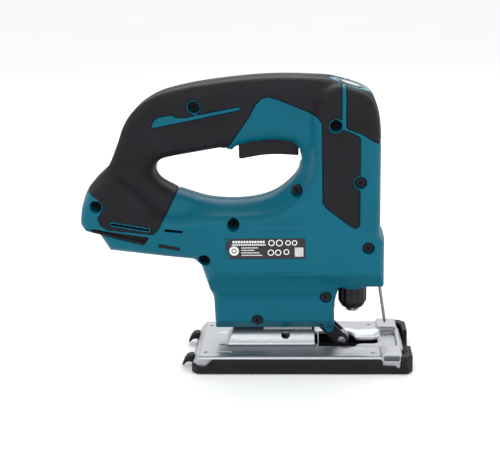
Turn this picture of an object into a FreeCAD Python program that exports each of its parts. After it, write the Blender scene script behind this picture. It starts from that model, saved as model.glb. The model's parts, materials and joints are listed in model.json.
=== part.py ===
import FreeCAD, Part
import math
import os
import re

# Compact cordless jigsaw with a D-handle, standing on its sole.
# Millimetres. +X towards the blade end, +Y towards the tool's left side, +Z up.
# Origin: middle of the overall length and width, on the floor under the sole.

os.makedirs("parts", exist_ok=True)
doc = FreeCAD.newDocument("Jigsaw")
Vector = FreeCAD.Vector

# ---------------------------------------------------------------- driving dimensions

driving = [
    ("halfWide", 28.0, "half width of the belly of the housing"),
    ("halfSlim", 17.0, "half width of the handle and of the foot of the body"),
    ("bellyRound", 7.0, "edge radius of the belly"),
    ("slimRound", 6.0, "edge radius of the handle"),
    ("wall", 2.8, "wall of the housing halves"),
    ("skin", 1.4, "thickness of the soft grip skins"),
    ("plungerX", 74.5, "axis of the plunger"),
    ("plungerRad", 4.0, "radius of the plunger rod"),
    ("stroke", 18.0, "stroke of the plunger"),
    ("motorZ", 83.5, "height of the motor axis"),
    ("canRad", 18.5, "outer radius of the motor can"),
    ("canRear", -12.0, "rear face of the motor can"),
    ("canFront", 40.0, "front face of the motor can"),
    ("shaftRad", 2.5, "radius of the motor shaft"),
    ("gearModule", 0.8, "tooth module of the gear pair"),
    ("pinionTeeth", 11, "teeth of the motor pinion"),
    ("gearTeeth", 47, "teeth of the drive gear"),
    ("gearRear", 57.0, "rear face of the drive gear"),
    ("gearFront", 63.0, "front face of the drive gear"),
    ("crankRad", 9.0, "crank radius, half the stroke"),
    ("caseRear", 50.0, "rear face of the gear case"),
    ("caseFront", 88.0, "front face of the gear case"),
    ("caseHalf", 22.0, "half width of the gear case"),
    ("caseLow", 76.0, "underside of the gear case"),
    ("caseHigh", 150.0, "top of the gear case"),
    ("sleeveRad", 10.4, "outer radius of the clamp sleeve"),
    ("sleeveLow", 38.0, "lower rim of the clamp sleeve"),
    ("sleeveHigh", 57.0, "upper rim of the clamp sleeve"),
    ("tiltZ", 10.0, "height of the tilt axis of the base"),
    ("saddleRad", 14.0, "outer radius of the saddle on the base"),
    ("sheetTop", 12.4, "top of the base sheet"),
    ("sheet", 2.0, "thickness of the base sheet"),
    ("baseHalf", 36.2, "half width of the metal base"),
    ("coverHalf", 38.0, "half width of the cover plate"),
    ("baseRear", -39.5, "rear edge of the metal base"),
    ("baseFront", 110.5, "front edge of the metal base"),
    ("coverFront", 116.0, "front of the cover plate"),
    ("slotHalf", 14.6, "half width of the wide blade opening"),
    ("bladeHalf", 5.0, "half width of the narrow blade opening"),
    ("boltX", 26.0, "axis of the base clamp bolt"),
    ("rollerX", 66.5, "axis of the guide roller"),
    ("rollerZ", 13.0, "height of the guide roller axis"),
    ("rollerRad", 5.3, "radius of the guide roller"),
    ("armX", 52.0, "pivot of the roller arm"),
    ("armZ", 28.0, "height of the roller arm pivot"),
    ("triggerX", 41.5, "hinge axis of the trigger"),
    ("triggerZ", 162.5, "height of the trigger hinge axis"),
    ("triggerHalf", 9.0, "half width of the trigger"),
    ("leverX", 38.0, "axis of the orbit lever"),
    ("leverZ", 47.0, "height of the orbit lever axis"),
    ("buttonX", 37.0, "axis of the lock-off button"),
    ("buttonZ", 177.0, "height of the lock-off button"),
    ("screwHead", 3.4, "radius of a housing screw head"),
    ("screwCore", 1.6, "radius of a housing screw shank"),
    ("recessRad", 4.25, "radius of a screw recess"),
    ("badgeRad", 14.0, "radius of the top badge"),
    ("guardRad", 1.05, "radius of the blade guard wire"),
    ("leadRad", 1.1, "radius of the inner leads"),
    ("fit", 0.08, "radial clearance of running fits"),
]
sheet = doc.addObject("Spreadsheet::Sheet", "dims")
for row, (alias, value, note) in enumerate(driving, start=1):
    sheet.set("A%d" % row, note)
    sheet.set("B%d" % row, str(value))
    sheet.setAlias("B%d" % row, alias)
doc.recompute()
aliases = {alias for alias, value, note in driving}


def dim(alias):
    return float(sheet.get(alias))


# ---------------------------------------------------------------- small builders

def linked(text):
    """Expression text with every dimension name pointed at the sheet."""
    return re.sub(r"[A-Za-z]\w*", lambda m: "dims." + m.group(0) if m.group(0) in aliases else m.group(0), str(text))


def bind(obj, **links):
    for name, text in links.items():
        obj.setExpression(name.replace("_", "."), linked(text))


def named(kind, name):
    obj = doc.addObject(kind, name)
    obj.Label = name
    return obj


def block(name, x, y, z):
    """Box between pairs of expressions."""
    obj = named("Part::Box", name)
    bind(obj, Length="(%s)-(%s)" % (x[1], x[0]), Width="(%s)-(%s)" % (y[1], y[0]), Height="(%s)-(%s)" % (z[1], z[0]))
    bind(obj, Placement_Base_x=x[0], Placement_Base_y=y[0], Placement_Base_z=z[0])
    return obj


turns = {
    "X": FreeCAD.Rotation(Vector(0, 1, 0), 90),
    "Y": FreeCAD.Rotation(Vector(1, 0, 0), -90),
    "Z": FreeCAD.Rotation(),
}


def rod(name, axis, at, span, radius):
    """Cylinder along a row axis: at holds the two other coordinates, span the two ends."""
    obj = named("Part::Cylinder", name)
    obj.Placement = FreeCAD.Placement(Vector(), turns[axis])
    base = list(at)
    base.insert("XYZ".index(axis), span[0])
    bind(obj, Radius=radius, Height="(%s)-(%s)" % (span[1], span[0]))
    bind(obj, Placement_Base_x=base[0], Placement_Base_y=base[1], Placement_Base_z=base[2])
    return obj


def join(name, *pieces):
    obj = named("Part::MultiFuse", name)
    obj.Shapes = list(pieces)
    obj.Refine = False
    return obj


def cut(name, base, *tools):
    obj = named("Part::Cut", name)
    obj.Base = base
    obj.Tool = tools[0] if len(tools) == 1 else join(name + "_tools", *tools)
    obj.Refine = False
    return obj


def common(name, first, second):
    obj = named("Part::Common", name)
    obj.Base = first
    obj.Tool = second
    obj.Refine = False
    return obj


def tube(name, axis, at, span, outer, inner):
    return cut(name, rod(name + "_outer", axis, at, span, outer), rod(name + "_inner", axis, at, span, inner))


def gather(name, pieces):
    """Separate solids kept apart in one node."""
    obj = named("Part::Compound", name)
    obj.Links = list(pieces)
    return obj


def outline_edges(start, steps):
    """Edges of a closed outline: a step is a point, ("arc", middle, end) or ("curve", points)."""
    edges = []
    here = Vector(*start, 0)
    for step in list(steps) + [start]:
        if step[0] == "arc":
            middle = Vector(*step[1], 0)
            end = Vector(*step[2], 0)
            edges.append(Part.Arc(here, middle, end))
        elif step[0] == "curve":
            points = [here] + [Vector(*point, 0) for point in step[1]]
            end = points[-1]
            curve = Part.BSplineCurve()
            curve.interpolate(points)
            edges.append(curve)
        else:
            end = Vector(*step, 0)
            if (end - here).Length < 1e-6:
                continue
            edges.append(Part.LineSegment(here, end))
        here = end
    return edges


planes = {"XZ": ("XZ_Plane", -1), "YZ": ("YZ_Plane", 1), "XY": ("XY_Plane", 1)}


def padded(name, plane, outlines, span):
    """Body with one pad of closed outlines between two stations along the plane's row axis."""
    role, sense = planes[plane]
    body = named("PartDesign::Body", name)
    sketch = body.newObject("Sketcher::SketchObject", name + "_sketch")
    support = [feature for feature in body.Origin.OriginFeatures if feature.Role == role][0]
    sketch.AttachmentSupport = [(support, "")]
    sketch.MapMode = "FlatFace"
    low, high = span if sense > 0 else ("-(%s)" % span[1], "-(%s)" % span[0])
    bind(sketch, AttachmentOffset_Base_z=low)
    for start, steps in outlines:
        sketch.addGeometry(outline_edges(start, steps), False)
    pad = body.newObject("PartDesign::Pad", name + "_pad")
    pad.Profile = sketch
    bind(pad, Length="(%s)-(%s)" % (high, low))
    return body


# ---------------------------------------------------------------- housing forms

# The right half of the housing is the sum of a slim form (handle loop, head and foot of the
# body) and a wide form (belly and head). Both exist at three insets: outside, under the grip
# skins, and the hollow inside. The left half is the mirror image.

slim_outline = ((-96.0, 88.5), [
    (-104.0, 100.0), (-112.0, 103.0),
    ("curve", [(-113.5, 116.0), (-109.0, 130.0), (-98.0, 143.0), (-90.0, 160.0), (-84.0, 175.0),
               (-75.0, 186.5), (-60.0, 195.5), (-40.0, 200.6), (-20.0, 203.6), (0.0, 205.6),
               (20.0, 206.6), (40.0, 206.2), (58.0, 204.6)]),
    ("curve", [(72.0, 200.4), (84.0, 195.6), (89.0, 189.0), (91.6, 180.0), (92.6, 168.0), (92.7, 152.0)]),
    (92.7, 97.0), (95.6, 92.0), (95.6, 58.0), (66.0, 58.0),
    ("curve", [(63.4, 52.0), (61.2, 44.0)]),
    (61.2, 24.6), (-24.5, 24.6), (-25.5, 58.0), (-31.0, 76.0), (-37.0, 81.5), (-60.0, 84.0),
])
wide_outline = ((-96.0, 88.5), [
    (-102.5, 100.0), (-112.5, 102.0),
    ("curve", [(-116.0, 108.0), (-113.0, 120.0), (-107.0, 130.0)]),
    ("curve", [(-96.0, 137.0), (-84.0, 135.0), (-74.0, 126.0)]),
    ("curve", [(-62.0, 113.0), (-48.0, 110.0), (-28.0, 112.5), (0.0, 112.5), (20.0, 115.0)]),
    ("curve", [(35.0, 124.0), (44.0, 136.0), (48.0, 150.0)]),
    (48.0, 184.0),
    ("curve", [(52.0, 195.0), (62.0, 200.5), (74.0, 198.6)]),
    ("curve", [(84.0, 194.0), (89.0, 187.0), (92.0, 174.0), (92.7, 158.0)]),
    (92.7, 97.0), (95.6, 92.0), (95.6, 66.0), (-26.5, 66.0), (-31.0, 76.0), (-37.0, 81.5), (-60.0, 84.0),
])
opening_outline = ((-50.0, 127.0), [
    ("curve", [(-61.5, 134.0), (-64.8, 141.5), (-60.5, 149.5), (-50.0, 152.2)]),
    (-18.0, 157.5), (-8.0, 156.5), (36.5, 156.5),
    ("curve", [(37.8, 148.0), (34.5, 137.0), (20.0, 124.5), (0.0, 119.0), (-26.0, 119.7), (-50.0, 127.0)]),
])


def outline_points(start, steps):
    """Corners of an outline, its curves divided into short chords."""
    points = [Vector(*start, 0)]
    for edge in outline_edges(start, steps):
        count = 2
        if edge.TypeId == "Part::GeomBSplineCurve":
            count = max(3, round(edge.length() / chord) + 1)
        points.extend(edge.discretize(Number=count)[1:])
    return points[:-1]


def grown(points, amount):
    """Outline moved outwards by the amount, edge by edge, with mitred corners."""
    area = sum(a.x * b.y - b.x * a.y for a, b in zip(points, points[1:] + points[:1]))
    turn = 1 if area > 0 else -1
    moved = []
    for i, here in enumerate(points):
        before = (here - points[i - 1]).normalize()
        after = (points[(i + 1) % len(points)] - here).normalize()
        normal = Vector(before.y + after.y, -before.x - after.x, 0) * turn
        normal.normalize()
        reach = Vector(before.y, -before.x, 0).dot(normal) * turn
        moved.append(here + normal * (amount / reach))
    return moved


def softened(outline, half, inset, rim, sense):
    """Right-hand solid from y = 0 to -half with a rounded rim; sense -1 for solids, +1 for openings."""
    points = outline_points(*outline)
    rings = [(0.0, sense * inset)]
    for step in range(rim_steps + 1):
        angle = math.radians(90.0 * step / rim_steps)
        rings.append((half - inset - rim * (1 - math.sin(angle)), sense * (inset + rim * (1 - math.cos(angle)))))
    loops = [[Vector(p.x, -y, p.y) for p in grown(points, growth)] for y, growth in rings]
    faces = [Part.Face(Part.makePolygon(loop + loop[:1])) for loop in (loops[0], loops[-1])]
    for low, high in zip(loops, loops[1:]):
        for i in range(len(points)):
            j = (i + 1) % len(points)
            faces.append(Part.Face(Part.makePolygon([low[i], low[j], high[j], high[i], low[i]])))
    solid = Part.Solid(Part.Shell(faces))
    if solid.Volume < 0:
        solid.reverse()
    return solid


def tilt_wedge(inset):
    """Space under the right half that the base sweeps when it tilts to 45 degrees."""
    drop = 14.3 + inset * math.sqrt(2)
    corners = [Vector(-130, y, z) for y, z in ((-4, 4 + drop), (-40, 40 + drop), (-40, 0), (-4, 0))]
    return Part.Face(Part.makePolygon(corners + corners[:1])).extrude(Vector(260, 0, 0))


def right_form(name, inset):
    """Right half of the housing at an inset from the outside."""
    slim = softened(slim_outline, dim("halfSlim"), inset, dim("slimRound") - inset, -1)
    gap = softened(opening_outline, dim("halfSlim") + 0.01, inset, dim("slimRound") - inset, 1)
    wide = softened(wide_outline, dim("halfWide"), inset, dim("bellyRound") - inset, -1)
    form = named("Part::Feature", name)
    form.Shape = slim.cut([gap, tilt_wedge(inset)]).fuse(wide)
    return form


def mirrored(name, source):
    """Mirror image across the middle plane y = 0."""
    obj = named("Part::Mirroring", name)
    obj.Source = source
    obj.Normal = Vector(0, 1, 0)
    return obj


chord = 7.0
rim_steps = 3
outer = right_form("outer", 0.0)
under = right_form("under", dim("skin"))
hollow = right_form("hollow", dim("wall"))
forms = {
    "right": (outer, under, hollow),
    "left": tuple(mirrored(form.Label + "_left", form) for form in (outer, under, hollow)),
}
sign = {"right": -1, "left": 1}


def across(side, near, far):
    """Span in Y on one side of the middle plane, from near it to far from it."""
    return (near, far) if side == "left" else ("-(%s)" % far, "-(%s)" % near)


# Screws that close the housing: x, z and the depth of the head's seat from the middle plane.
housing_screw_spots = [
    (-104.0, 120.5, 16.0), (-34.5, 187.5, 8.0), (62.3, 175.3, 14.0), (35.0, 129.0, 14.0),
    (-8.7, 106.6, 14.0), (-29.7, 81.3, 14.0), (55.0, 50.0, 13.0), (6.0, 32.4, 13.0),
]
# Screws that hold the right half to the gear case: x, z.
case_screw_spots = [(79.0, 136.0), (84.6, 89.4)]
case_screw_seat = 23.2

# ---------------------------------------------------------------- grip skins

grip_outline = ((-125.0, 131.5), [
    (-107.0, 128.5), (-101.5, 125.5), (-98.6, 120.5), (-101.0, 115.0), (-103.0, 112.5), (-101.5, 107.5),
    (-97.0, 104.0), (-65.0, 100.2), (-61.0, 104.0), (-46.5, 132.0), (-30.0, 142.0), (-11.5, 159.5),
    (3.0, 180.0), (8.0, 189.0), (12.0, 193.0), (17.0, 194.0), (22.0, 192.5), (50.0, 181.0), (53.0, 177.0),
    (53.2, 122.0), (56.0, 118.0), (72.0, 105.5), (75.5, 103.5), (78.5, 105.5), (78.7, 167.0),
    (75.0, 169.5), (66.3, 173.0), (66.3, 220.0), (-125.0, 220.0),
])
cap_outline = ((69.3, 220.0), [(69.3, 175.0), (70.5, 173.0), (80.0, 169.5), (90.5, 162.8), (100.0, 160.0), (100.0, 220.0)])
badge_tilt = 18.4
badge_centre = Vector(73.0, 0, 200.2)
badge_up = Vector(math.sin(math.radians(badge_tilt)), 0, math.cos(math.radians(badge_tilt)))


def tilted_disc(name, radius, low, high):
    """Disc square to the sloping top of the head, between two depths along its normal."""
    obj = named("Part::Cylinder", name)
    obj.Placement = FreeCAD.Placement(badge_centre + badge_up * low, FreeCAD.Rotation(Vector(0, 1, 0), badge_tilt))
    bind(obj, Radius=radius, Height=high - low)
    return obj


def grip_skin(name, side, outline):
    """Soft skin between the outside and the form under it, within an outline, clear of the screws."""
    solid, inner, _ = forms[side]
    layer = cut(name + "_layer", solid, inner)
    zone = padded(name + "_zone", "XZ", [outline], across(side, "0", "40"))
    rings = [
        rod("%s_ring_%d" % (name, i), "Y", (x, z), across(side, "0", "40"), "recessRad+0.9")
        for i, (x, z, seat) in enumerate(housing_screw_spots)
    ]
    rings += [
        rod("%s_case_ring_%d" % (name, i), "Y", (x, z), across(side, "0", "40"), "recessRad+0.9")
        for i, (x, z) in enumerate(case_screw_spots)
    ]
    slot = block(name + "_trigger_slot", ("-6.6", "38.8"), ("-triggerHalf-0.4", "triggerHalf+0.4"), ("145", "166"))
    badge = tilted_disc(name + "_badge_zone", "badgeRad+2.6", -4.0, 8.0)
    return cut(name, common(name + "_patch", layer, zone), slot, badge, *rings)


grips = {side: grip_skin("grip_" + side, side, grip_outline) for side in sign}
caps = {side: grip_skin("nose_cap_" + side, side, cap_outline) for side in sign}

# ---------------------------------------------------------------- wire guard of the blade

guard_half = 5.0
guard_top = Vector(91.9, 0, 68.0)
guard_low = Vector(97.25, 0, 31.0)


def guard_wire():
    """Bent wire: two legs joined by a half circle at the bottom."""
    down = (guard_low - guard_top).normalize()
    aside = Vector(0, guard_half, 0)
    near = Part.LineSegment(guard_top - aside, guard_low - aside)
    bend = Part.Arc(guard_low - aside, guard_low + down * guard_half, guard_low + aside)
    far = Part.LineSegment(guard_low + aside, guard_top + aside)
    path = Part.Wire([near.toShape(), bend.toShape(), far.toShape()])
    ring = Part.Wire(Part.Circle(guard_top - aside, down, dim("guardRad")).toShape())
    obj = named("Part::Feature", "wire_guard")
    obj.Shape = path.makePipeShell([ring], True, False)
    return obj


wire_guard = guard_wire()

# ---------------------------------------------------------------- housing halves

gear_z = dim("motorZ") + dim("gearModule") * (dim("pinionTeeth") + dim("gearTeeth")) / 2
tongue_outline = ((48.4, 31.5), [(48.4, 25.8), (53.6, 23.8), ("arc", (57.8, 19.6), (61.2, 24.0)), (61.2, 31.5)])
groove_outline = ((-125.0, 107.0), [(-67.5, 98.3), (-71.7, 92.5), (-108.8, 102.1), (-125.0, 104.8)])
pocket_outline = ((-59.0, 97.0), [(-46.0, 95.5), (-46.0, 90.0), (-47.0, 87.0), (-62.0, 91.0)])
rear_slot_outline = ((-94.4, 108.9), [(-67.2, 104.2), (-67.8, 102.6), (-93.8, 107.2)])
front_slot_outline = ((-56.7, 104.2), [(-44.2, 102.9), (-44.2, 101.1), (-56.7, 102.4)])
rib_spots = [("low_rib_rear", -6.0, 60.0, 112.0), ("low_rib_front", 33.0, 60.0, 112.0),
             ("top_rib_rear", -22.0, 158.0, 204.0), ("top_rib_front", 24.0, 158.0, 204.0)]


def housing_half(side):
    name = "housing_" + side
    solid, _, inside = forms[side]
    reach = across(side, "0", "40")
    collar = rod(name + "_collar_rod", "Z", ("plungerX", "0"), ("54.2", "64"), "sleeveRad+2.6")
    added = [
        common(name + "_collar", collar, block(name + "_collar_zone", (55, 95), reach, (50, 70))),
        padded(name + "_tongue", "XZ", [tongue_outline], across(side, "6.6", "8.2")),
    ]
    webs = [block("%s_%s" % (name, rib), (x, x + 2.2), reach, (low, high)) for rib, x, low, high in rib_spots]
    webs.append(block(name + "_groove_wall", (-116, -64), across(side, "21", "26"), (90, 109)))
    webs.append(block(name + "_socket_wall", (-101, -53), across(side, "0", "19"), (82, 93)))
    webs.append(block(name + "_guard_boss", (88, 95), across(side, "0", "8"), (58, 66)))
    webs.append(block(name + "_foot_pad", (3, 45.2), across(side, "0", "10"), (24, 36)))
    removed = [
        rod(name + "_collar_bore", "Z", ("plungerX", "0"), ("50", "80"), "sleeveRad+0.8"),
        block(name + "_trigger_slot", ("-6.6", "38.8"), ("-triggerHalf-0.4", "triggerHalf+0.4"), (145, 166)),
        block(name + "_trigger_room", (-8, 46), ("-triggerHalf-0.6", "triggerHalf+0.6"), (158, 171.6)),
        block(name + "_switch_room", (-24.2, 30.2), (-11.1, 11.1), (171.8, 193.1)),
        rod(name + "_motor_room", "X", ("0", "motorZ"), (-26, 48), "canRad+0.1"),
        block(name + "_socket", (-125, -55), (-17, 17), (80, 93)),
        padded(name + "_groove", "XZ", [groove_outline], across(side, "23", "40")),
        padded(name + "_pocket", "XZ", [pocket_outline], across(side, "26", "40")),
        padded(name + "_rear_slot", "XZ", [rear_slot_outline], across(side, "18", "40")),
        padded(name + "_front_slot", "XZ", [front_slot_outline], across(side, "18", "40")),
        block(name + "_arm_slot", (44, 62.8), (-6.5, 6.5), (15, 33.5)),
        rod(name + "_arm_pin_hole", "Y", ("armX", "armZ"), (-8.3, 8.3), 2),
        block(name + "_lens_hole", (55, 64), (-4, 4), (38, 45)),
        block(name + "_seat_hole", (10, 45), (-7.6, 7.6), (20, 34)),
        tilted_disc(name + "_badge_recess", "badgeRad+0.2", -1.5, 12.0),
    ]
    for i, (x, z, seat) in enumerate(housing_screw_spots):
        spot = "%s_screw_%d" % (name, i)
        if side == "right":
            webs.append(rod(spot + "_well", "Y", (x, z), across(side, seat - 1.5, "halfWide"), "recessRad+1.4"))
            removed.append(rod(spot + "_recess", "Y", (x, z), across(side, seat, "40"), "recessRad"))
        webs.append(rod(spot + "_stem", "Y", (x, z), across(side, "0", "halfWide" if side == "left" else seat), 3.2))
        removed.append(rod(spot + "_bore", "Y", (x, z), across(side, "-1", seat - 2 if side == "left" else seat + 1), "screwCore+0.15"))
    if side == "right":
        for i, (x, z) in enumerate(case_screw_spots):
            spot = "%s_case_screw_%d" % (name, i)
            webs.append(rod(spot + "_well", "Y", (x, z), across(side, "caseHalf+0.1", "halfWide"), "recessRad+1.4"))
            removed.append(rod(spot + "_recess", "Y", (x, z), across(side, case_screw_seat, "40"), "recessRad"))
            removed.append(rod(spot + "_bore", "Y", (x, z), across(side, "20", "40"), "screwCore+0.15"))
        removed.append(block(name + "_label_recess", (-14.6, 41.1), ("-halfWide-1", "-halfWide+0.3"), (82.3, 97.3)))
    else:
        webs.append(block(name + "_button_rib", (32, 42), (8.5, 10.2), (171, 206)))
        removed.append(rod(name + "_button_hole", "Y", ("buttonX", "buttonZ"), (12, 30), 4.8))
        removed.append(rod(name + "_stem_hole", "Y", ("buttonX", "buttonZ"), (8, 12), 2.7))
        removed.append(rod(name + "_lever_hole", "Y", ("leverX", "leverZ"), (10, 30), "4+fit"))
    shell = cut(name + "_shell", solid, cut(name + "_cavity", inside, *webs))
    carved = cut(name + "_carved", join(name + "_whole", shell, *added), *removed)
    recessed = cut(name + "_recessed", carved, grips[side])
    capped = cut(name + "_capped", recessed, caps[side])
    return cut(name, capped, wire_guard)


housing_right = housing_half("right")
housing_left = housing_half("left")
parts = [housing_right, housing_left, grips["right"], grips["left"], caps["right"], caps["left"], wire_guard]

# ---------------------------------------------------------------- small housing pieces


def screw(name, x, z, seat, length):
    head = rod(name + "_head", "Y", (x, z), (-seat - 2.2, -seat), "screwHead")
    drive = rod(name + "_drive", "Y", (x, z), (-seat - 2.3, -seat - 1.0), 1.3)
    shank = rod(name + "_shank", "Y", (x, z), (-seat, -seat + length), "screwCore")
    return cut(name, join(name + "_blank", head, shank), drive)


parts.append(gather("housing_screws", [
    screw("housing_screw_%d" % i, x, z, seat, seat + min(10, seat - 3))
    for i, (x, z, seat) in enumerate(housing_screw_spots)
]))
parts.append(gather("case_screws", [
    screw("case_screw_%d" % i, x, z, case_screw_seat, 6) for i, (x, z) in enumerate(case_screw_spots)
]))
badge_disc = tilted_disc("badge_disc", "badgeRad", -1.5, -0.3)
badge_boss = tilted_disc("badge_boss", "badgeRad*0.62", -0.4, 0.1)
parts.append(join("top_badge", badge_disc, badge_boss))
parts.append(block("name_plate", (-14.5, 41.0), ("-halfWide+0.05", "-halfWide+0.3"), (82.4, 97.2)))
parts.append(block("lamp_lens", (57.5, 61.9), (-4, 4), (38, 45)))
parts.append(block("base_seat_blank", (10, 45), (-7.6, 7.6), (20, 34)))
parts[-1] = cut("base_seat", parts[-1], rod("base_seat_curve", "X", ("0", "tiltZ"), (0, 50), "saddleRad+0.35"),
                rod("base_seat_thread", "Z", ("boltX", "0"), (15, 33), 2.5))

rail_outline = ((-108.4, 102.0), [(-107.8, 103.4), (-72.4, 94.4), (-71.9, 92.8)])
parts.append(gather("battery_rails", [
    padded("battery_rail_" + side, "XZ", [rail_outline], across(side, "23", "26.4")) for side in sign
]))
parts.append(block("terminal_block", (-94, -55), (-18, 18), (93, 104)))
parts.append(gather("terminal_blades", [
    block("terminal_blade_%d" % i, (-92, -72), (y - 0.5, y + 0.5), (86.5, 93)) for i, y in enumerate((-9, 0, 9))
]))

# ---------------------------------------------------------------- switch, trigger and button

parts.append(block("switch_body", (-24, 30), (-11, 11), (172, 193)))
trigger_outline = ((-4.9, 163.0), [
    (-4.9, 150.8), (-2.8, 150.8), ("curve", [(10.0, 152.5), (20.0, 153.0), (30.0, 152.5), (36.6, 151.9)]),
    (36.9, 157.0), (40.0, 159.7), ("arc", (44.7, 162.5), (41.5, 165.7)), (36.0, 164.5),
])
trigger_blank = padded("trigger_blank", "XZ", [trigger_outline], ("-triggerHalf", "triggerHalf"))
parts.append(cut("trigger", trigger_blank, rod("trigger_bore", "Y", ("triggerX", "triggerZ"), (-12, 12), "1.5+fit")))
parts.append(rod("trigger_pin", "Y", ("triggerX", "triggerZ"), (-13.8, 13.8), 1.5))


def coil_spring(name, base, axis, radius, wire, turns_count, length):
    """Round-wire coil spring standing on base and running along a row axis."""
    path = Part.makeHelix(length / turns_count, length, radius)
    ring = Part.Wire(Part.Circle(Vector(radius, 0, 0), Vector(0, 1, 0), wire).toShape())
    obj = named("Part::Feature", name)
    obj.Shape = path.makePipeShell([ring], True, True)
    obj.Placement = FreeCAD.Placement(base, turns[axis])
    return obj


parts.append(coil_spring("trigger_spring", Vector(6, 0, 165.0), "Z", 3.2, 0.35, 5, 6.4))
button_cap = rod("button_cap", "Y", ("buttonX", "buttonZ"), (15.5, 19), 4.6)
button_stem = rod("button_stem", "Y", ("buttonX", "buttonZ"), (6, 15.6), 2.5)
parts.append(join("lock_off_button", button_cap, button_stem))

# ---------------------------------------------------------------- inner leads


def lead(name, points):
    """Round lead along straight runs joined by tangent arcs."""
    edges = []
    here = points[0]
    for before, corner, after in zip(points, points[1:], points[2:]):
        back = (before - corner).normalize()
        on = (after - corner).normalize()
        half_turn = (math.pi - back.getAngle(on)) / 2
        run = 0.45 * min((before - corner).Length, (after - corner).Length)
        radius = run / math.tan(half_turn)
        start = corner + back * run
        end = corner + on * run
        middle = corner + (back + on).normalize() * (radius / math.cos(half_turn) - radius)
        edges.append(Part.LineSegment(here, start).toShape())
        edges.append(Part.Arc(start, middle, end).toShape())
        here = end
    edges.append(Part.LineSegment(here, points[-1]).toShape())
    path = Part.Wire(edges)
    ring = Part.Wire(Part.Circle(points[0], points[1] - points[0], dim("leadRad")).toShape())
    obj = named("Part::Feature", name)
    obj.Shape = path.makePipeShell([ring], True, False)
    return obj


power_route = [(-84, 104), (-84, 132), (-77, 156), (-62, 174), (-40, 179), (-24, 179)]
motor_route = [(-24, 175), (-44, 172), (-64, 163), (-73, 148), (-72, 128), (-54, 108), (-34, 97), (-23, 95)]
for name, route, y in (("power_leads", power_route, 3.0), ("motor_leads", motor_route, 7.0)):
    parts.append(gather(name, [
        lead("%s_%d" % (name, i), [Vector(x, side * y, z) for x, z in route]) for i, side in enumerate((-1, 1))
    ]))

# ---------------------------------------------------------------- motor

motor = ("0", "motorZ")
can_tube = tube("can_tube", "X", motor, ("canRear", "canFront"), "canRad", "canRad-1.5")
can_front = tube("can_front", "X", motor, ("canFront-1.5", "canFront"), "canRad-1", "6")
parts.append(join("motor_can", can_tube, can_front))
magnet_ring = tube("magnet_ring", "X", motor, (-4, 32), "canRad-1.5", "canRad-4")
parts.append(cut("motor_magnets", magnet_ring, block("magnet_gap", (-10, 40), (-30, 30), ("motorZ-4", "motorZ+4"))))
cap_blank = rod("cap_blank", "X", motor, (-23, "canRear"), "canRad-0.1")
parts.append(cut("motor_end_cap", cap_blank, rod("cap_inside", "X", motor, (-18, 0), "canRad-2.5"),
                 rod("cap_pocket", "X", motor, (-22, 0), 6.5)))
parts.append(tube("rear_motor_bearing", "X", motor, (-22, -18), 6.5, "shaftRad"))
parts.append(tube("front_motor_bearing", "X", motor, ("caseRear+0.1", "caseRear+4.9"), 8, "shaftRad"))
parts.append(gather("motor_brushes", [
    block("brush_%d" % i, (-11, -6), across(side, 6.2, 12), ("motorZ-2.5", "motorZ+2.5"))
    for i, side in enumerate(("right", "left"))
]))
commutator = tube("commutator", "X", motor, (-12.5, -4), 6, "shaftRad")
core = rod("armature_core", "X", motor, (0, 30), 13.6)
shaft = rod("armature_shaft", "X", motor, (-22, 65), "shaftRad")
parts.append(commutator)
parts.append(join("armature", core, shaft))

fan_blades = 9
fan_pieces = [tube("fan_hub", "X", motor, (42.5, 48.5), 4.5, "shaftRad"), tube("fan_disc", "X", motor, (47.2, 48.5), 16.5, "shaftRad")]
for i in range(fan_blades):
    blade = named("Part::Box", "fan_blade_%d" % i)
    spin = FreeCAD.Rotation(Vector(1, 0, 0), 360.0 * i / fan_blades)
    bind(blade, Length=5, Width=0.9, Height=12.2)
    blade.Placement = FreeCAD.Placement(Vector(42.5, 0, dim("motorZ")) + spin.multVec(Vector(0, -0.45, 4)), spin)
    fan_pieces.append(blade)
parts.append(join("fan", *fan_pieces))

# ---------------------------------------------------------------- gear pair

pressure_angle = math.radians(20)
tooth_share = 0.93


def involute(angle):
    return math.tan(angle) - angle


def gear_outline(teeth, addendum, dedendum, first_tooth):
    """Corners of a spur gear with involute flanks; first_tooth is the angle of one tooth's middle."""
    module = dim("gearModule")
    pitch = module * teeth / 2
    base = pitch * math.cos(pressure_angle)
    root = pitch - dedendum * module
    tip = pitch + addendum * module
    flank = [max(base, root) + (tip - max(base, root)) * k / 4 for k in range(5)]
    half = [
        tooth_share * math.pi / (2 * teeth) + involute(pressure_angle) - involute(math.acos(min(1.0, base / radius)))
        for radius in flank
    ]
    corners = []
    for tooth in range(int(teeth)):
        middle = first_tooth + 2 * math.pi * tooth / teeth
        profile = [(root, -half[0])] + [(radius, -turn) for radius, turn in zip(flank, half)]
        profile += [(radius, turn) for radius, turn in zip(reversed(flank), reversed(half))] + [(root, half[0])]
        corners += [(radius * math.cos(middle + turn), radius * math.sin(middle + turn)) for radius, turn in profile]
    return corners


def spur(name, teeth, addendum, dedendum, first_tooth, height, span, bore):
    """Spur gear around an axis along X at the given height."""
    points = [Vector(span[0], y, z) for y, z in gear_outline(teeth, addendum, dedendum, first_tooth)]
    kept = [p for p, q in zip(points, points[-1:] + points[:-1]) if (p - q).Length > 1e-6]
    blank = Part.Face(Part.makePolygon(kept + kept[:1])).extrude(Vector(span[1] - span[0], 0, 0))
    hole = Part.makeCylinder(bore, span[1] - span[0] + 2, Vector(span[0] - 1, 0, 0), Vector(1, 0, 0))
    obj = named("Part::Feature", name)
    obj.Shape = blank.cut(hole)
    obj.Placement = FreeCAD.Placement(Vector(0, 0, height), FreeCAD.Rotation())
    return obj


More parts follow.
